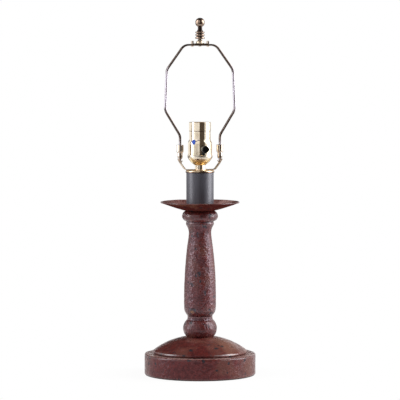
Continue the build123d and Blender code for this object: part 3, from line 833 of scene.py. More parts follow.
@dataclass
class Turning:
    """A closed mesh turned from a template, with a relief on its worked rows."""

    name: str
    template: Template
    segments: int
    relief: Callable[[Vector], float]
    push: Push = Push.NORMAL
    reach: float = 1.6
    full_edge: float = 0.34

    def build(self) -> bpy.types.Object:
        """Makes the mesh, which keeps how worn and how hollow each point is.

        Returns:
            The object.
        """
        rings: list[list[int]] = []
        points: list[Vector] = []
        edges: list[float] = []
        for i, row in enumerate(self.template.rows):
            count = 1 if row.radius < ON_AXIS else self.segments
            rings.append(list(range(len(points), len(points) + count)))
            edges += [self.edge(i)] * count
            points += [self.point(i, k / self.segments) for k in range(count)]
        mesh = bpy.data.meshes.new(self.name)
        mesh.from_pydata([p * MM for p in points], [], self.faces(rings))
        # cavity_shade measures the hollow rows, which the paint darkens as painted shade.
        for label, sign in (("wear", 1), ("cavity_shade", -1)):
            kept = mesh.attributes.new(label, "FLOAT", "POINT")
            kept.data.foreach_set("value", [min(max(sign * e, 0.0), 1.0) for e in edges])
        mesh.shade_smooth()
        mesh.set_sharp_from_angle(angle=CREASE)
        return stand(self.name, mesh)

    def faces(self, rings: list[list[int]]) -> list[tuple[int, ...]]:
        """Joins neighbouring rings.

        Args:
            rings: The point numbers of each ring, one number where it is on the axis.

        Returns:
            The faces as point numbers.
        """
        found: list[tuple[int, ...]] = []
        for low, high in zip(rings, rings[1:] + rings[:1]):
            if len(low) == 1 and len(high) == 1:
                continue
            for k in range(self.segments):
                after = (k + 1) % self.segments
                if len(low) == 1:
                    found.append((low[0], high[after], high[k]))
                elif len(high) == 1:
                    found.append((low[k], low[after], high[0]))
                else:
                    found.append((low[k], low[after], high[after], high[k]))
        return found

    def outward(self, i: int) -> Vector:
        """Finds which way a row faces.

        Args:
            i: The row's number.

        Returns:
            The direction, as (radial, upward).
        """
        rows = self.template.rows
        before, after = rows[i - 1], rows[(i + 1) % len(rows)]
        along = Vector((after.radius - before.radius, after.height - before.height))
        return Vector((along.y, -along.x)).normalized()

    def edge(self, i: int) -> float:
        """Measures how far a row stands out of the line between its neighbours.

        Args:
            i: The row's number.

        Returns:
            The share of a full edge, below 0 in a hollow.
        """
        rows = self.template.rows
        if not rows[i].worked:
            return 0.0
        here = Vector((rows[i].radius, rows[i].height))
        ends = []
        for way in (-1, 1):
            k, run = i, 0.0
            while run < self.reach:
                after = (k + way) % len(rows)
                run += math.dist((rows[k].radius, rows[k].height), (rows[after].radius, rows[after].height))
                k = after
            far = Vector((rows[k].radius, rows[k].height))
            ends.append(here + (far - here).normalized() * self.reach)
        return (here - (ends[0] + ends[1]) / 2).dot(self.outward(i)) / self.full_edge

    def point(self, i: int, share: float) -> Vector:
        """Places a point of a row.

        Args:
            i: The row's number.
            share: How far round it is, from 0 to 1.

        Returns:
            The point, in millimetres.
        """
        row = self.template.rows[i]
        angle = FULL_TURN * share
        round_about = Vector((math.cos(angle), math.sin(angle), 0.0))
        place = round_about * row.radius + Vector((0.0, 0.0, row.height))
        if not row.worked:
            return place
        way = Vector((1.0, 0.0)) if self.push is Push.RADIAL else self.outward(i)
        return place + (round_about * way.x + Vector((0.0, 0.0, way.y))) * self.relief(place)


def lay(piece: bpy.types.Object, bearing: float, height: float, out: float = 0.0) -> None:
    """Lays a turned mesh down, with its axis running outwards.

    Args:
        piece: The turned mesh.
        bearing: Where its axis points.
        height: The axis's height.
        out: How far from the lamp's axis it starts.
    """
    turn = Matrix.Rotation(math.radians(bearing), 4, "Z") @ Matrix.Rotation(math.pi / 2, 4, "X")
    start = Matrix.Translation((0.0, 0.0, out * MM))
    piece.data.transform(Matrix.Translation((0.0, 0.0, height * MM)) @ turn @ start)


def bore(piece: bpy.types.Object, bit: Template, segments: int, bearing: float, height: float) -> None:
    """Bores a hole into the side of a piece.

    Args:
        piece: The piece that is cut.
        bit: The outline of the bit, from the lamp's axis outwards.
        segments: The number of sides of the hole.
        bearing: Where the bit comes from.
        height: The height of its axis.
    """
    cutter = Turning("bit", bit, segments, smooth_surface).build()
    lay(cutter, bearing, height)
    cut = piece.modifiers.new("cut", "BOOLEAN")
    cut.object = cutter
    graph = bpy.context.evaluated_depsgraph_get()
    whole = piece.data
    left = piece.evaluated_get(graph)
    piece.data = bpy.data.meshes.new_from_object(left, preserve_all_data_layers=True, depsgraph=graph)
    piece.data.set_sharp_from_angle(angle=CREASE)
    piece.modifiers.clear()
    bpy.data.meshes.remove(whole)
    bpy.data.objects.remove(cutter)


def seat(piece: bpy.types.Object, finish: Finish, body: Body, slot: Slot | None, *nodes: str) -> None:
    """Dresses a new piece and puts it on its body.

    Args:
        piece: The piece.
        finish: Its finish.
        body: The body that it rides on.
        slot: The record's slot that it takes, if any; not used.
        nodes: The nodes that it stands for.
    """
    piece.data.materials.append(finish.make())
    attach(piece, body.value)
    if nodes:
        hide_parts(*nodes)
    LOG.info("%s rides on %s and stands for %s", piece.name, body.value, ", ".join(nodes) or "no node")


def repaint(
    piece: bpy.types.Object, finish: Finish, chosen: Callable[[bpy.types.MeshPolygon], bool]
) -> None:
    """Gives some faces of a piece a second finish.

    Args:
        piece: The piece.
        finish: The second finish.
        chosen: Says whether a face takes it.
    """
    piece.data.materials.append(finish.make())
    for face in piece.data.polygons:
        face.material_index = int(chosen(face))


def dress(nodes: dict[str, bpy.types.Object], finish: Finish, *names: str) -> None:
    """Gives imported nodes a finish.

    Args:
        nodes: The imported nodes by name.
        finish: The finish.
        names: The nodes that take it.
    """
    material = finish.make()
    for name in names:
        slots = nodes[name].material_slots
        for place in slots:
            place.material = material
        if not slots:
            nodes[name].data.materials.append(material)
        LOG.info("%s is finished in %s", name, finish.name)


@dataclass
class Turned:
    """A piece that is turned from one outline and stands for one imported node."""

    name: str
    node: str
    slot: Slot
    finish: Finish
    segments: int
    spacing: float
    body: Body = Body.LAMP
    push: Push = Push.NORMAL
    reach: float = 1.6
    full_edge: float = 0.34

    def outline(self) -> Template:
        """The piece's closed outline."""
        raise NotImplementedError

    def relief(self, place: Vector) -> float:
        """How far the surface stands out of the outline at a place, in millimetres."""
        return smooth_surface(place)

    def work(self, piece: bpy.types.Object) -> None:
        """Does what is left to do to the turned mesh, which is nothing on most pieces."""

    def build(self) -> bpy.types.Object:
        """Turns, works, dresses and seats the piece.

        Returns:
            The piece.
        """
        shape = self.outline(), self.segments, self.relief, self.push, self.reach, self.full_edge
        piece = Turning(self.name, *shape).build()
        self.work(piece)
        seat(piece, self.finish, self.body, self.slot, self.node)
        return piece


@dataclass
class FeltFoot(Turned):
    """The felt disc glued under the base."""

    name: str = "felt_foot"
    node: str = "felt_pad"
    slot: Slot = Slot.FELT
    finish: Finish = Felt()
    segments: int = 220
    spacing: float = 1.5
    radius: float = 82.6
    thick: float = 1.2
    edge_round: float = 0.35
    fuzz: HandWear = HandWear(dent_size=6.0, dent_depth=0.10, ripple_size=1.6, ripple_depth=0.12, shift=3.0)

    def outline(self) -> Template:
        """The disc's outline, with its lower edge eased.

        Returns:
            The outline.
        """
        inner = self.radius - self.edge_round
        outline = Template((0.0, 0.0), self.spacing).plain((inner, 0.0)).to((self.radius, self.edge_round))
        return outline.to((self.radius, self.thick)).plain((0.0, self.thick))

    def relief(self, place: Vector) -> float:
        """The fuzz of the felt's edge."""
        return self.fuzz.at(place)

    def build(self) -> bpy.types.Object:
        """Makes the felt and lays it under the base.

        Returns:
            The felt.
        """
        piece = super().build()
        across = 2 * self.radius * MM
        area = math.pi * (self.radius * MM) ** 2
        return piece


@dataclass
class WoodStand:
    """Base, dome and spindle, turned from wood and worn by hand."""

    hole: float = 5.6
    base_radius: float = 83.6
    base_bottom: float = 1.2
    base_top: float = 32.0
    base_top_round: float = 2.0
    base_foot_round: float = 0.8
    recess_radius: float = 21.0
    recess_top: float = 15.6
    cord_height: float = 10.4
    cord_radius: float = 4.2
    bushing_radius: float = 6.05
    bushing_length: float = 14.0
    flange_radius: float = 8.05
    flange_thick: float = 1.4
    dome_foot: float = 68.2
    dome_radius: float = 70.6
    dome_lip_top: Point = (69.4, 36.9)
    dome_shoulder: Point = (52.0, 47.6)
    dome_top: float = 57.3
    tenon_radius: float = 10.0
    tenon_length: float = 7.4
    tenon_play: float = 0.1
    ball_foot: float = 20.3
    ball_middle: Point = (25.55, 69.9)
    ball_top: Point = (19.3, 82.9)
    ring_radius: float = 18.65
    ring_top: Point = (18.9, 88.3)
    groove: float = 0.6
    vase_bottom: float = 89.3
    vase_shoulder: Point = (21.7, 93.0)
    vase_start: Point = (23.5, 97.8)
    vase_leave: Point = (0.12, 1.0)
    vase: tuple[Point, ...] = ((24.0, 113.0), (22.95, 152.5), (19.75, 189.5), (16.75, 213.4))
    vase_arrive: Point = (-0.06, 1.0)
    cove_middle: Point = (17.75, 219.6)
    collar_edge: float = 20.4
    collar_radius: float = 20.95
    collar_bottom: float = 225.2
    collar_top: float = 231.0
    torus_middle: Point = (27.0, 239.5)
    top_radius: float = 21.4
    top: float = 247.2
    base_segments: int = 420
    drill_segments: int = 48
    spindle_segments: int = 168
    base_spacing: float = 1.1
    spindle_spacing: float = 0.9
    base_wear: HandWear = HandWear(ripple_depth=0.07, shift=1.0)
    dome_wear: HandWear = HandWear(ripple_depth=0.05, shift=2.0)
    spindle_wear: HandWear = HandWear(ripple_size=4.6, ripple_depth=0.14, shift=5.0)
    bead_specular: float = 0.40
    base_paint: BarnRedPaint = BarnRedPaint(
        "base_paint",
        specular=0.28,
        pebble_depth=1.0,
        scuff_and_sheen_share=0.12,
        dust_and_sheen_share=0.9,
        polish=0.25,
        chips=(
            Chip(-12.6, 83.6, 30.2, 2.9),
            Chip(-27.7, 83.6, 30.7, 2.8),
            Chip(14.6, 83.6, 25.0, 2.2),
            Chip(1.3, 83.6, 15.4, 1.9),
            Chip(13.4, 83.6, 11.5, 1.8),
            Chip(-82.0, 83.6, 20.0, 2.2),
            Chip(-68.7, 83.6, 22.0, 1.8),
            Chip(-80.6, 83.6, 29.3, 3.4),
        ),
        # A browner patch on the right of the disc's side.
        stains_and_painted_light=(Chip(44.0, 83.6, 15.0, 22.0, 0.6),),
    )
    dome_paint: BarnRedPaint = BarnRedPaint(
        "dome_paint",
        brown=(0.250, 0.120, 0.085),
        specular=0.26,
        pebble_depth=0.45,
        brown_share=0.25,
        scuff_and_sheen_share=0.12,
        polish=0.9,
        chips=(Chip(22.0, 52.0, 47.0, 2.6), Chip(16.0, 50.0, 47.6, 2.0)),
        # This stain is partly a real brown patch and partly painted light on the dome's lit right side.
        stains_and_painted_light=(Chip(46.0, 50.0, 47.0, 30.0, 0.8),),
        rubs=(Chip(-62.0, 69.6, 35.5, 22.0, 0.5), Chip(19.0, 69.6, 35.5, 22.0, 0.5)),
    )
    spindle_paint: BarnRedPaint = BarnRedPaint(
        "spindle_paint",
        chips=(
            Chip(-50.0, 23.4, 97.4, 4.6),
            Chip(-34.0, 23.4, 98.6, 3.2),
            Chip(-30.4, 23.0, 150.9, 2.0),
            Chip(-62.4, 23.3, 140.6, 1.8),
            Chip(-14.5, 23.3, 142.8, 2.0),
            Chip(2.0, 23.8, 124.8, 2.3),
            Chip(21.0, 23.4, 99.7, 1.6),
            Chip(-55.0, 22.0, 80.0, 3.0),
            Chip(18.0, 25.0, 75.0, 2.2),
        ),
        bare=(Chip(-46.0, 23.3, 95.8, 3.2),),
    )

    def build(self) -> None:
        """Turns, paints and seats the three pieces, with a duller paint on the spindle's beads."""
        base = Turning("turned_base", self.base(), self.base_segments, self.base_wear.at).build()
        bore(base, self.drill(), self.drill_segments, BACK, self.cord_height)
        seat(base, self.base_paint, Body.LAMP, Slot.WOOD, "base_disc")
        dome = Turning("turned_dome", self.dome(), self.base_segments, self.dome_wear.at).build()
        seat(dome, self.dome_paint, Body.LAMP, Slot.WOOD, "base_dome")
        turned = Turning("turned_spindle", self.spindle(), self.spindle_segments, self.spindle_wear.at)
        spindle = turned.build()
        seat(spindle, self.spindle_paint, Body.LAMP, Slot.WOOD, "spindle")
        bead_paint = replace(self.spindle_paint, name="bead_paint", specular=self.bead_specular)
        repaint(spindle, bead_paint, self.on_bead)

    def on_bead(self, face: bpy.types.MeshPolygon) -> bool:
        """Whether a face of the spindle is on the ball at its foot or the torus at its top."""
        return not self.ball_top[1] < face.center.z / MM < self.collar_top

    def drill(self) -> Template:
        """The outline of the bit for the stepped cord hole.

        Returns:
            The outline.
        """
        seat_start = self.base_radius - self.bushing_length
        face_start = self.base_radius - self.flange_thick
        outside = self.base_radius + self.flange_thick
        bit = Template((0.0, 0.0), self.base_spacing).plain((self.cord_radius, 0.0))
        bit.plain((self.cord_radius, seat_start), (self.bushing_radius, seat_start))
        bit.plain((self.bushing_radius, face_start), (self.flange_radius, face_start))
        return bit.plain((self.flange_radius, outside), (0.0, outside))

    def base(self) -> Template:
        """The base's outline, with the recess for the nut.

        Returns:
            The outline.
        """
        side, low, top = self.base_radius, self.base_bottom, self.base_top
        foot, rim = self.base_foot_round, self.base_top_round
        outline = Template((self.recess_radius, low), self.base_spacing).plain((side - foot, low))
        outline.eased((side, low), (side, low + foot)).to((side, top - rim))
        outline.eased((side, top), (side - rim, top)).to((self.dome_foot - rim, top))
        outline.plain((self.hole, top), (self.hole, self.recess_top))
        return outline.plain((self.recess_radius, self.recess_top))

    def dome(self) -> Template:
        """The dome's outline, with the hole for the spindle's tenon.

        Returns:
            The outline.
        """
        hole = self.tenon_radius + self.tenon_play
        floor = self.dome_top - self.tenon_length - self.tenon_play
        lip_middle = (self.dome_radius, (self.base_top + self.dome_lip_top[1]) / 2)
        outline = Template((self.hole, self.base_top), self.base_spacing)
        outline.plain((self.dome_foot, self.base_top)).arc(lip_middle, self.dome_lip_top)
        outline.arc(self.dome_shoulder, (self.ball_foot, self.dome_top))
        return outline.plain((hole, self.dome_top), (hole, floor), (self.hole, floor))

    def spindle(self) -> Template:
        """The spindle's outline, from its tenon to the seat of the pan.

        Returns:
            The outline.
        """
        tenon_end = self.dome_top - self.tenon_length
        ring_x, ring_z = self.ring_top
        groove = ((ring_x + self.ring_radius) / 2 - self.groove, (ring_z + self.vase_bottom) / 2)
        collar_middle = (self.collar_radius, (self.collar_bottom + self.collar_top) / 2)
        outline = Template((self.hole, tenon_end), self.spindle_spacing)
        outline.plain((self.tenon_radius, tenon_end), (self.tenon_radius, self.dome_top))
        outline.plain((self.ball_foot, self.dome_top)).arc(self.ball_middle, self.ball_top)
        outline.arc((self.ring_radius, (self.ball_top[1] + ring_z) / 2), self.ring_top)
        outline.to(groove, (ring_x, self.vase_bottom)).arc(self.vase_shoulder, self.vase_start)
        outline.curve(*self.vase, leave=self.vase_leave, arrive=self.vase_arrive)
        outline.arc(self.cove_middle, (self.collar_edge, self.collar_bottom))
        outline.arc(collar_middle, (self.collar_edge, self.collar_top))
        return outline.arc(self.torus_middle, (self.top_radius, self.top)).plain((self.hole, self.top))


@dataclass
class CandlePan(Turned):
    """The spun dish under the candle cover, with a flatter paint on its underside that is darker as painted
    shade.
    """

    name: str = "spun_pan"
    node: str = "candle_pan"
    slot: Slot = Slot.PAN
    finish: Finish = BarnRedPaint(
        "pan_paint",
        brown=(0.46, 0.28, 0.26),
        specular=0.25,
        pebble_depth=0.5,
        brown_share=0.0,
        scuff_and_sheen_share=0.15,
        dust_and_sheen_share=0.45,
        polish=0.4,
        # The stain is a painted highlight on the right of the dish's inside; brown here is only that
        # highlight's colour, since brown_share is 0.
        stains_and_painted_light=(Chip(112.0, 50.0, 256.0, 13.0, 0.6),),
    )
    # The downward faces have no sheen, and a darker red as painted shade under the dish.
    flat_shaded_paint: Finish = BarnRedPaint(
        "pan_underside_painted_shade",
        red=(0.072, 0.016, 0.012),
        specular=0.0,
        pebble_depth=0.5,
        brown_share=0.9,
        scuff_and_sheen_share=0.15,
        polish=0.0,
    )
    segments: int = 300
    spacing: float = 0.9
    reach: float = 1.2
    full_edge: float = 0.5
    hole: float = 5.3
    thick: float = 1.2
    bottom: float = 247.2
    floor_radius: float = 22.2
    middle: Point = (42.5, 253.2)
    edge: Point = (58.2, 258.9)
    radius: float = 59.5
    rim_rise: float = 1.4
    lean: float = 0.3
    facing_down: float = -0.3
    hammering: HandWear = HandWear(
        dent_size=18.0, dent_depth=0.26, ripple_size=5.0, ripple_depth=0.08, shift=7.0
    )

    def outline(self) -> Template:
        """The dish's outline, out along its underside and back along its upper side.

        Returns:
            The outline.
        """
        edge_x, edge_z = self.edge
        rim_top = (edge_x - self.lean, edge_z + self.rim_rise)
        upper = (self.middle[0] - self.lean, self.middle[1] + self.thick)
        floor = self.bottom + self.thick
        outline = Template((self.hole, self.bottom), self.spacing).plain((self.floor_radius, self.bottom))
        outline.arc(self.middle, self.edge).arc((self.radius, edge_z + self.rim_rise / 2), rim_top)
        return outline.arc(upper, (self.floor_radius - self.lean, floor)).plain((self.hole, floor))

    def relief(self, place: Vector) -> float:
        """The hammering of the sheet."""
        return self.hammering.at(place)

    def build(self) -> bpy.types.Object:
        """Spins the dish and paints its underside flatter and darker, the darker red being painted shade.

        Returns:
            The dish.
        """
        piece = super().build()
        repaint(piece, self.flat_shaded_paint, lambda face: face.normal.z < self.facing_down)
        return piece


@dataclass
class SocketBowl(Turned):
    """The spun bowl that the socket's shell snaps into, with a painted pale reflection over its upper part,
    and with its press notch.
    """

    name: str = "spun_bowl"
    node: str = "socket_cap"
    slot: Slot = Slot.BRIGHT
    finish: Finish = PolishedBrass(
        "bowl_brass",
        brass=(1.0, 0.80, 0.46),
        tarnish=(0.90, 0.66, 0.34),
        gloss=0.24,
        # The pale band paints the bowl's upper part paler, as painted reflection.
        painted_light_and_shade_colour=(0.94, 0.84, 0.70),
        painted_light_and_shade_bands=(Band(323.6, 337.4),),
    )
    segments: int = 120
    spacing: float = 0.5
    hole: float = 6.0
    foot: float = 8.0
    bottom: float = 315.6
    middle: Point = (14.3, 320.9)
    shoulder: Point = (18.4, 326.85)
    rim_curve: Point = (18.68, 328.0)
    rim: Point = (18.8, 329.4)
    top: float = 330.9
    top_round: float = 0.3
    rim_inside: float = 18.25
    ledge: Point = (16.0, 327.0)
    inner_middle: Point = (13.2, 321.9)
    floor: float = 316.4
    notch_radius: float = 1.1
    notch_height: float = 324.6
    notch_bearing: float = -26.5
    notch_depth: float = 6.0
    notch_segments: int = 24

    def outline(self) -> Template:
        """The bowl's outline, up its outside, over its rim and down to its floor.

        Returns:
            The outline.
        """
        side = self.rim[0]
        outline = Template((self.hole, self.bottom), self.spacing).plain((self.foot, self.bottom))
        outline.arc(self.middle, self.shoulder).arc(self.rim_curve, self.rim)
        outline.to((side, self.top - self.top_round)).plain((side - self.top_round, self.top))
        outline.plain((self.rim_inside, self.top), (self.rim_inside, self.ledge[1]), self.ledge)
        return outline.arc(self.inner_middle, (self.foot, self.floor)).plain((self.hole, self.floor))

    def work(self, piece: bpy.types.Object) -> None:
        """Presses the notch into the bowl.

        Args:
            piece: The bowl.
        """
        outside = self.rim[0]
        start = outside - self.notch_depth
        punch = Template((0.0, start), self.spacing).plain((self.notch_radius, start))
        punch.plain((self.notch_radius, outside), (0.0, outside))
        bore(piece, punch, self.notch_segments, self.notch_bearing, self.notch_height)


@dataclass
class BulbShell(Turned):
    """The rolled brass shell that a bulb screws into."""

    name: str = "rolled_bulb_shell"
    node: str = "screw_shell"
    slot: Slot = Slot.BRIGHT
    finish: Finish = PolishedBrass("bulb_shell_brass", gloss=0.14)
    push: Push = Push.RADIAL
    segments: int = 96
    spacing: float = 0.34
    radius: float = 13.25
    wall: float = 0.5
    deck: float = 350.5
    cup_radius: float = 12.5
    floor_hole: float = 9.0
    thread: ScrewThread = ScrewThread(pitch=3.63, depth=0.62, bottom=356.8, top=376.0)

    def outline(self) -> Template:
        """The shell's outline, with a cup under its thread.

        Returns:
            The outline.
        """
        bottom, top = self.thread.bottom, self.thread.top
        outer, cup, cup_top = self.radius + self.wall, self.cup_radius + self.wall, bottom - self.wall
        floor = self.deck + self.wall
        outline = Template((self.floor_hole, self.deck), self.spacing)
        outline.plain((cup, self.deck), (cup, cup_top), (outer, bottom))
        outline.to((outer, top)).plain((self.radius, top))
        outline.to((self.radius, bottom)).plain((self.cup_radius, cup_top), (self.cup_radius, floor))
        return outline.plain((self.floor_hole, floor))

    def relief(self, place: Vector) -> float:
        """The rolled thread."""
        return self.thread.at(place)


@dataclass
class SwivelStud(Turned):
    """The shade's seat with its threaded stud, on a pivot through the harp."""

    name: str = "threaded_stud"
    node: str = "shade_stud"
    slot: Slot = Slot.ANTIQUE
    finish: Finish = AntiqueBrass("stud_brass", rubbed=(0.75, 0.62, 0.48), brightness=0.95)
    body: Body = Body.SWIVEL
    push: Push = Push.RADIAL
    segments: int = 64
    spacing: float = 0.16
    head_radius: float = 2.4
    head_bottom: float = 493.2
    head_top: float = 494.1
    pivot_radius: float = 1.6
    seat_bottom: float = 497.9
    seat_radius: float = 6.4
    seat_lean: float = 0.2
    seat_top_radius: float = 4.9
    seat_top: float = 501.9
    edge_round: float = 0.6
    stud_radius: float = 3.175
    thread_radius: float = 3.0
    top: float = 512.0
    thread: ScrewThread = ScrewThread(pitch=0.94, depth=0.30, bottom=504.6, top=511.4)

    def outline(self) -> Template:
        """The stud's outline: head, pivot, seat, plain shoulder and thread.

        Returns:
            The outline.
        """
        edge, shoulder, seat_side = self.edge_round, self.thread.bottom, self.seat_radius - self.seat_lean
        head, low = self.head_radius, self.head_bottom
        outline = Template((0.0, low), self.spacing).plain((head - edge, low), (head, low + edge))
        outline.plain((head, self.head_top), (self.pivot_radius, self.head_top))
        outline.plain((self.pivot_radius, self.seat_bottom), (self.seat_radius - edge, self.seat_bottom))
        outline.plain((seat_side, self.seat_bottom + edge), (self.seat_top_radius, self.seat_top - edge))
        outline.plain((self.seat_top_radius - edge, self.seat_top), (self.stud_radius, self.seat_top))
        outline.plain((self.stud_radius, shoulder), (self.thread_radius, shoulder))
        outline.to((self.thread_radius, self.thread.top))
        return outline.plain((self.thread_radius - edge, self.top), (0.0, self.top))

    def relief(self, place: Vector) -> float:
        """The cut thread."""
        return self.thread.at(place)


@dataclass
class TurnKnob(Turned):
    """The switch's knob with its fine grip, turned along Z and laid towards the front."""

    name: str = "gripped_knob"
    node: str = "turn_knob"
    slot: Slot = Slot.KNOB
    finish: Finish = PlainFinish(
        "gloss_knob",
        base=(0.002, 0.002, 0.003),
        grain=(0.004, 0.004, 0.005),
        grain_size=0.8,
        grain_depth=0.01,
        gloss=0.16,
        specular=0.22,
    )
    body: Body = Body.KNOB
    push: Push = Push.RADIAL
    segments: int = 216
    spacing: float = 0.3
    back: float = 20.4
    shoulder: float = 27.3
    front: float = 33.0
    radius: float = 5.7
    back_radius: float = 4.8
    edge_round: float = 1.8
    stem_radius: float = 2.5
    stem_end: float = 30.0
    height: float = 340.0
    grips: int = 36
    grip_depth: float = 0.14

    def outline(self) -> Template:
        """The knob's outline from its back, with the hole for the stem.

        Returns:
            The outline.
        """
        length, depth = self.front - self.back, self.stem_end - self.back
        outline = Template((self.stem_radius, 0.0), self.spacing).plain((self.back_radius, 0.0))
        outline.to((self.radius, self.shoulder - self.back), (self.radius, length - self.edge_round))
        outline.eased((self.radius, length), (self.radius - self.edge_round, length))
        return outline.plain((0.0, length), (0.0, depth), (self.stem_radius, depth))

    def relief(self, place: Vector) -> float:
        """The grip cut into the knob's side."""
        return -self.grip_depth * hump(self.grips * math.atan2(place.y, place.x))

    def work(self, piece: bpy.types.Object) -> None:
        """Lays the knob on the switch's axis."""
        lay(piece, 0.0, self.height, self.back)


@dataclass
class ShellMark:
    """A small round or oval mark on the socket's shell, bent round its shoulder."""

    name: str
    bearing: float
    height: float
    half_width: float
    half_height: float
    finish: Finish
    slot: Slot | None = None
    crown: float = 0.0
    tilt: float = 0.0
    lift: float = 0.10
    thick: float = 0.12
    skirt_radius: float = 18.2
    body_radius: float = 16.2
    shoulder_bottom: float = 348.2
    shoulder_top: float = 355.4
    rings: int = 6
    segments: int = 40

    def build(self) -> None:
        """Turns a disc of radius 1 and thickness 1, bends it round the shell and seats it."""
        disc = Template((0.0, 0.0), 1 / self.rings).to((1.0, 0.0)).plain((1.0, 1.0)).to((0.0, 1.0))
        piece = Turning(self.name, disc, self.segments, smooth_surface).build()
        piece.data.shade_flat()
        for point in piece.data.vertices:
            point.co = self.bent(point.co / MM) * MM
        seat(piece, self.finish, Body.LAMP, self.slot)

    def bent(self, place: Vector) -> Vector:
        """Bends a point of the disc.

        Args:
            place: The point, with its height 0 on the inner side and 1 on the outer side.

        Returns:
            The point on the shell, in millimetres.
        """
        rise = self.half_height * place.y
        across = self.half_width * place.x + self.tilt * rise
        height = self.height + rise
        shell = self.shell(height)
        swell = self.crown * (1 - place.x**2 - place.y**2)
        out = shell + self.lift + place.z * (self.thick + swell)
        return around(self.bearing + math.degrees(across / shell), out, height)

    def shell(self, height: float) -> float:
        """Measures the shell over the two arcs of its shoulder.

        Args:
            height: A height.

        Returns:
            The shell's radius there.
        """
        drop, rise = self.skirt_radius - self.body_radius, self.shoulder_top - self.shoulder_bottom
        bend = (drop**2 + rise**2) / (4 * drop)
        up = min(max(height - self.shoulder_bottom, 0.0), rise)
        if up < rise / 2:
            return self.skirt_radius - bend + math.sqrt(bend**2 - up**2)
        return self.body_radius + bend - math.sqrt(bend**2 - (rise - up) ** 2)


INSPECTION_DOT = ShellMark(
    "inspection_dot",
    bearing=-48.8,
    height=350.5,
    half_width=3.3,
    half_height=3.9,
    finish=PlainFinish(
        "blue_paper",
        base=(0.018, 0.085, 0.52),
        grain=(0.025, 0.10, 0.58),
        grain_size=0.5,
        grain_depth=0.02,
        gloss=0.55,
    ),
    tilt=-0.1,
)
PRESS_MARK = ShellMark(
    "press_mark",
    bearing=-24.0,
    height=353.6,
    half_width=2.0,
    half_height=0.7,
    # The mark's dark purple colour is painted reflection in the pressed dimple.
    finish=PolishedBrass("mark_painted_reflection", brass=(0.20, 0.14, 0.30), tarnish=(0.26, 0.19, 0.34)),
    slot=Slot.BRIGHT,
    crown=0.35,
)
HARDWARE: tuple[tuple[Finish, tuple[str, ...]], ...] = (
    (CharcoalPaint(), ("candle_cover",)),
    # The shell's band paints a thin dark line at 366 to 367 mm, as painted shade along its groove.
    (PolishedBrass("shell_brass", painted_light_and_shade_bands=(Band(366.2, 367.3),)), ("socket_shell",)),
    (
        PolishedBrass("ferrule_brass", brass=(0.74, 0.64, 0.54), tarnish=(0.55, 0.45, 0.38), gloss=0.04),
        ("ferrule_left", "ferrule_right"),
    ),
    (PolishedBrass(), ("socket_neck",)),
    (
        PolishedBrass("gold_brass", brass=(0.80, 0.57, 0.25), tarnish=(0.66, 0.43, 0.16), gloss=0.08),
        ("neck_set_screw", "terminal_screws", "centre_contact", "switch_stem"),
    ),
    (
        # The two bands paint the harp's lower legs and its upper loop darker, as painted reflection of the
        # dark room.
        PolishedBrass(
            "harp_brass",
            brass=(0.66, 0.61, 0.70),
            tarnish=(0.56, 0.50, 0.56),
            gloss=0.20,
            painted_light_and_shade_colour=(0.20, 0.15, 0.13),
            painted_light_and_shade_bands=(Band(340.0, 408.0), Band(446.0, 540.0)),
        ),
        ("harp",),
    ),
    (
        PolishedBrass("saddle_brass", brass=(0.95, 0.79, 0.60), tarnish=(0.82, 0.63, 0.45), gloss=0.36),
        ("harp_saddle",),
    ),
    (
        PolishedBrass("bracket_brass", brass=(0.72, 0.58, 0.46), tarnish=(0.50, 0.38, 0.30), gloss=0.16),
        ("harp_bracket",),
    ),
    (
        AntiqueBrass(
            "burnished_brass",
            rubbed=(0.38, 0.28, 0.22),
            hollow=6.0,
            brightness=0.8,
            gloss=0.16,
            # The band paints the neck between the rings and the ball darker, as painted shade.
            painted_light_and_shade_bands=(Band(515.0, 524.0),),
        ),
        ("finial",),
    ),
    (
        PolishedBrass(
            "cap_brass",
            brass=(0.58, 0.45, 0.31),
            tarnish=(0.44, 0.32, 0.21),
            gloss=0.20,
            # The band paints the cap's skirt darker, as painted shade under its rim.
            painted_light_and_shade_bands=(Band(303.4, 306.2),),
        ),
        ("cover_cap",),
    ),
    (
        PlainFinish(
            "zinc_steel",
            base=(0.52, 0.52, 0.54),
            grain=(0.62, 0.61, 0.60),
            grain_size=1.5,
            grain_depth=0.02,
            gloss=0.30,
            metal=1.0,
        ),
        ("lamp_pipe", "base_washer", "base_nut"),
    ),
    (
        PlainFinish(
            "black_moulding",
            base=(0.012, 0.012, 0.012),
            grain=(0.026, 0.024, 0.022),
            grain_size=0.7,
            grain_depth=0.05,
            gloss=0.55,
        ),
        ("socket_body",),
    ),
    (
        PlainFinish(
            "brown_bushing",
            base=(0.040, 0.020, 0.015),
            grain=(0.060, 0.032, 0.022),
            grain_size=0.7,
            grain_depth=0.04,
            gloss=0.50,
        ),
        ("cord_bushing",),
    ),
    (
        PlainFinish(
            "liner_card",
            base=(0.40, 0.31, 0.20),
            grain=(0.50, 0.40, 0.28),
            grain_size=0.9,
            grain_depth=0.08,
            gloss=0.85,
        ),
        ("shell_liner",),
    ),
)


def hang(name: str, data: bpy.types.ID, place: Vector, aim: Vector) -> bpy.types.Object:
    """Puts a light or a camera at a place.

    Args:
        name: Its name.
        data: The light or camera.
        place: Where it hangs.
        aim: The point that it faces.

    Returns:
        The object.
    """
    made = stand(name, data)
    made.location = place
    made.rotation_euler = (aim - place).to_track_quat("-Z", "Y").to_euler()
    return made


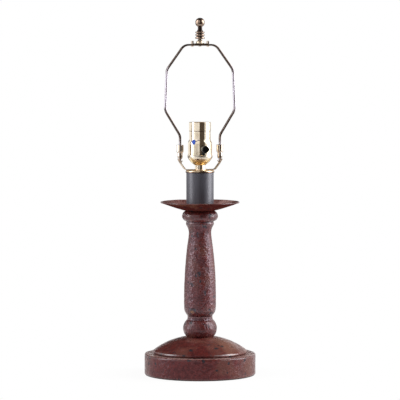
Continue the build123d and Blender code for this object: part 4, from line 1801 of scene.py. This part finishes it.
@dataclass
class Softbox:
    """A large soft light beside the lamp."""

    name: str
    bearing: float
    width: float
    radiance: float
    distance: float = 1.5
    height: float = 0.95
    tall: float = 2.1

    def build(self, aim: Vector) -> None:
        """Hangs the light and points it.

        Args:
            aim: The point that it faces.
        """
        light = bpy.data.lights.new(self.name, "AREA")
        light.shape = "RECTANGLE"
        light.size = self.width
        light.size_y = self.tall
        light.energy = self.radiance * math.pi * self.width * self.tall
        made = hang(self.name, light, around(self.bearing, self.distance, self.height), aim)
        made.visible_camera = False


@dataclass(frozen=True)
class Panel:
    """A flat four-sided panel of the studio."""

    name: str

    def corners(self) -> list[Vector]:
        """The panel's corners, in metres."""
        raise NotImplementedError

    def put(self, material: bpy.types.Material) -> bpy.types.Object:
        """Puts the panel into the studio.

        Args:
            material: Its material.

        Returns:
            The panel.
        """
        mesh = bpy.data.meshes.new(self.name)
        mesh.from_pydata(self.corners(), [], [(0, 1, 2, 3)])
        made = stand(self.name, mesh)
        made.data.materials.append(material)
        return made


@dataclass(frozen=True)
class LevelPanel(Panel):
    """A level panel between two sides and two depths."""

    left: float
    right: float
    near: float
    far: float
    height: float

    def corners(self) -> list[Vector]:
        """Places the panel's corners.

        Returns:
            The corners.
        """
        left, right, near, far = self.left, self.right, self.near, self.far
        plan = ((left, near), (right, near), (right, far), (left, far))
        return [Vector((x, y, self.height)) for x, y in plan]


@dataclass(frozen=True)
class UprightPanel(Panel):
    """An upright panel that faces the lamp from a bearing."""

    bearing: float
    distance: float
    half_width: float
    low: float
    high: float

    def corners(self) -> list[Vector]:
        """Places the panel's corners.

        Returns:
            The corners.
        """
        angle = math.radians(self.bearing)
        side = Vector((math.cos(angle), math.sin(angle), 0.0)) * self.half_width
        bottom, top = (around(self.bearing, self.distance, height) for height in (self.low, self.high))
        return [bottom - side, bottom + side, top + side, top - side]


@dataclass
class Studio:
    """Camera, lights, floor and the dark sides of the room, which only reflections show."""

    camera_distance: float = 3.65
    camera_height: float = 0.4847
    camera_bearing: float = -16.0
    aim_height: float = 0.26304
    lens: float = 219.06
    sensor: float = 36.0
    ambient: float = 0.22
    shadow_share: float = 0.06
    shadow_fade: Span = (88.0, 190.0)
    ground: LevelPanel = LevelPanel("floor", left=-12.0, right=12.0, near=-12.0, far=12.0, height=0.0)
    gloom: Colour = (0.085, 0.068, 0.055)
    dark_sides: tuple[Panel, ...] = (
        UprightPanel("dark_front", bearing=6.5, distance=4.6, half_width=2.3, low=0.0, high=8.6),
        LevelPanel("dark_ceiling", left=-1.5, right=2.1, near=-0.7, far=6.0, height=1.75),
        LevelPanel("dark_front_floor", left=-6.0, right=6.0, near=-6.0, far=-0.6, height=0.002),
        LevelPanel("dark_back_floor", left=-3.0, right=3.0, near=1.0, far=6.0, height=0.002),
        UprightPanel("dark_back_wall", bearing=BACK, distance=4.0, half_width=1.6, low=0.75, high=3.6),
    )
    softboxes: tuple[Softbox, ...] = (
        Softbox("left_softbox", bearing=-98.0, width=0.8, radiance=4.0),
        Softbox("right_softbox", bearing=74.0, width=1.2, radiance=5.2),
    )

    def build(self) -> None:
        """Sets up the whole studio."""
        aim = Vector((0.0, 0.0, self.aim_height))
        self.camera(aim)
        for box in self.softboxes:
            box.build(aim)
        self.world()
        self.floor()
        self.dark_room()

    def camera(self, aim: Vector) -> None:
        """Sets the camera at the viewing angle.

        Args:
            aim: The point at the middle of the frame.
        """
        data = bpy.data.cameras.new("camera")
        data.lens = self.lens
        data.sensor_width = self.sensor
        place = around(self.camera_bearing, self.camera_distance, self.camera_height)
        bpy.context.scene.camera = hang("camera", data, place, aim)

    @staticmethod
    def seen(graph: Graph) -> Signal:
        """Tells the rays that show the room from those that only light the lamp.

        Args:
            graph: The graph of the world or the floor.

        Returns:
            1 for rays from the camera or a mirror-like or clear surface, and 0 for light.
        """
        kinds = ("Camera", "Glossy", "Transmission")
        rays = [graph.node("ShaderNodeLightPath", output=f"Is {kind} Ray") for kind in kinds]
        return rays[0].most(rays[1]).most(rays[2])

    def world(self) -> None:
        """A white room that lights the lamp softly."""
        world = bpy.data.worlds.new("white_room")
        bpy.context.scene.world = world
        world.use_nodes = True
        graph = Graph(world.node_tree)
        strength = self.seen(graph) * (1 - self.ambient) + self.ambient
        white = graph.node("ShaderNodeBackground", inputs={"Color": WHITE, "Strength": strength})
        graph.show(white, "World")

    def floor(self) -> None:
        """A white floor that keeps a faint shadow."""
        material, graph = new_material("white_floor")
        matt = graph.node("ShaderNodeBsdfDiffuse", inputs={"Color": WHITE})
        glow = graph.node("ShaderNodeEmission", inputs={"Color": WHITE, "Strength": 1.0})
        away = graph.node("ShaderNodeVectorMath", {"operation": "LENGTH"}, {0: graph.place()}, "Value")
        near = 1 - graph.step(away, self.shadow_fade)
        share = self.seen(graph) * (1 - near * self.shadow_share)
        graph.show(graph.node("ShaderNodeMixShader", inputs={"Fac": share, 1: matt, 2: glow}))
        self.ground.put(material)

    def dark_room(self) -> None:
        """The unlit sides of the room."""
        material, graph = new_material("gloom")
        graph.show(graph.node("ShaderNodeEmission", inputs={"Color": self.gloom, "Strength": 1.0}))
        for side in self.dark_sides:
            panel = side.put(material)
            panel.visible_camera = False
            panel.visible_diffuse = False
            panel.visible_shadow = False


def main() -> None:
    """Builds and dresses the lamp in its studio."""
    logging.basicConfig(level=logging.INFO, format="%(name)s: %(message)s")
    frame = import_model()
    bpy.context.scene.view_settings.view_transform = "Standard"
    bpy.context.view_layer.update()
    turned = (FeltFoot(), CandlePan(), SocketBowl(), BulbShell(), SwivelStud(), TurnKnob())
    for part in (Studio(), WoodStand(), *turned, INSPECTION_DOT, PRESS_MARK):
        part.build()
    for finish, names in HARDWARE:
        dress(frame["nodes"], finish, *names)


if __name__ == "__main__":
    main()
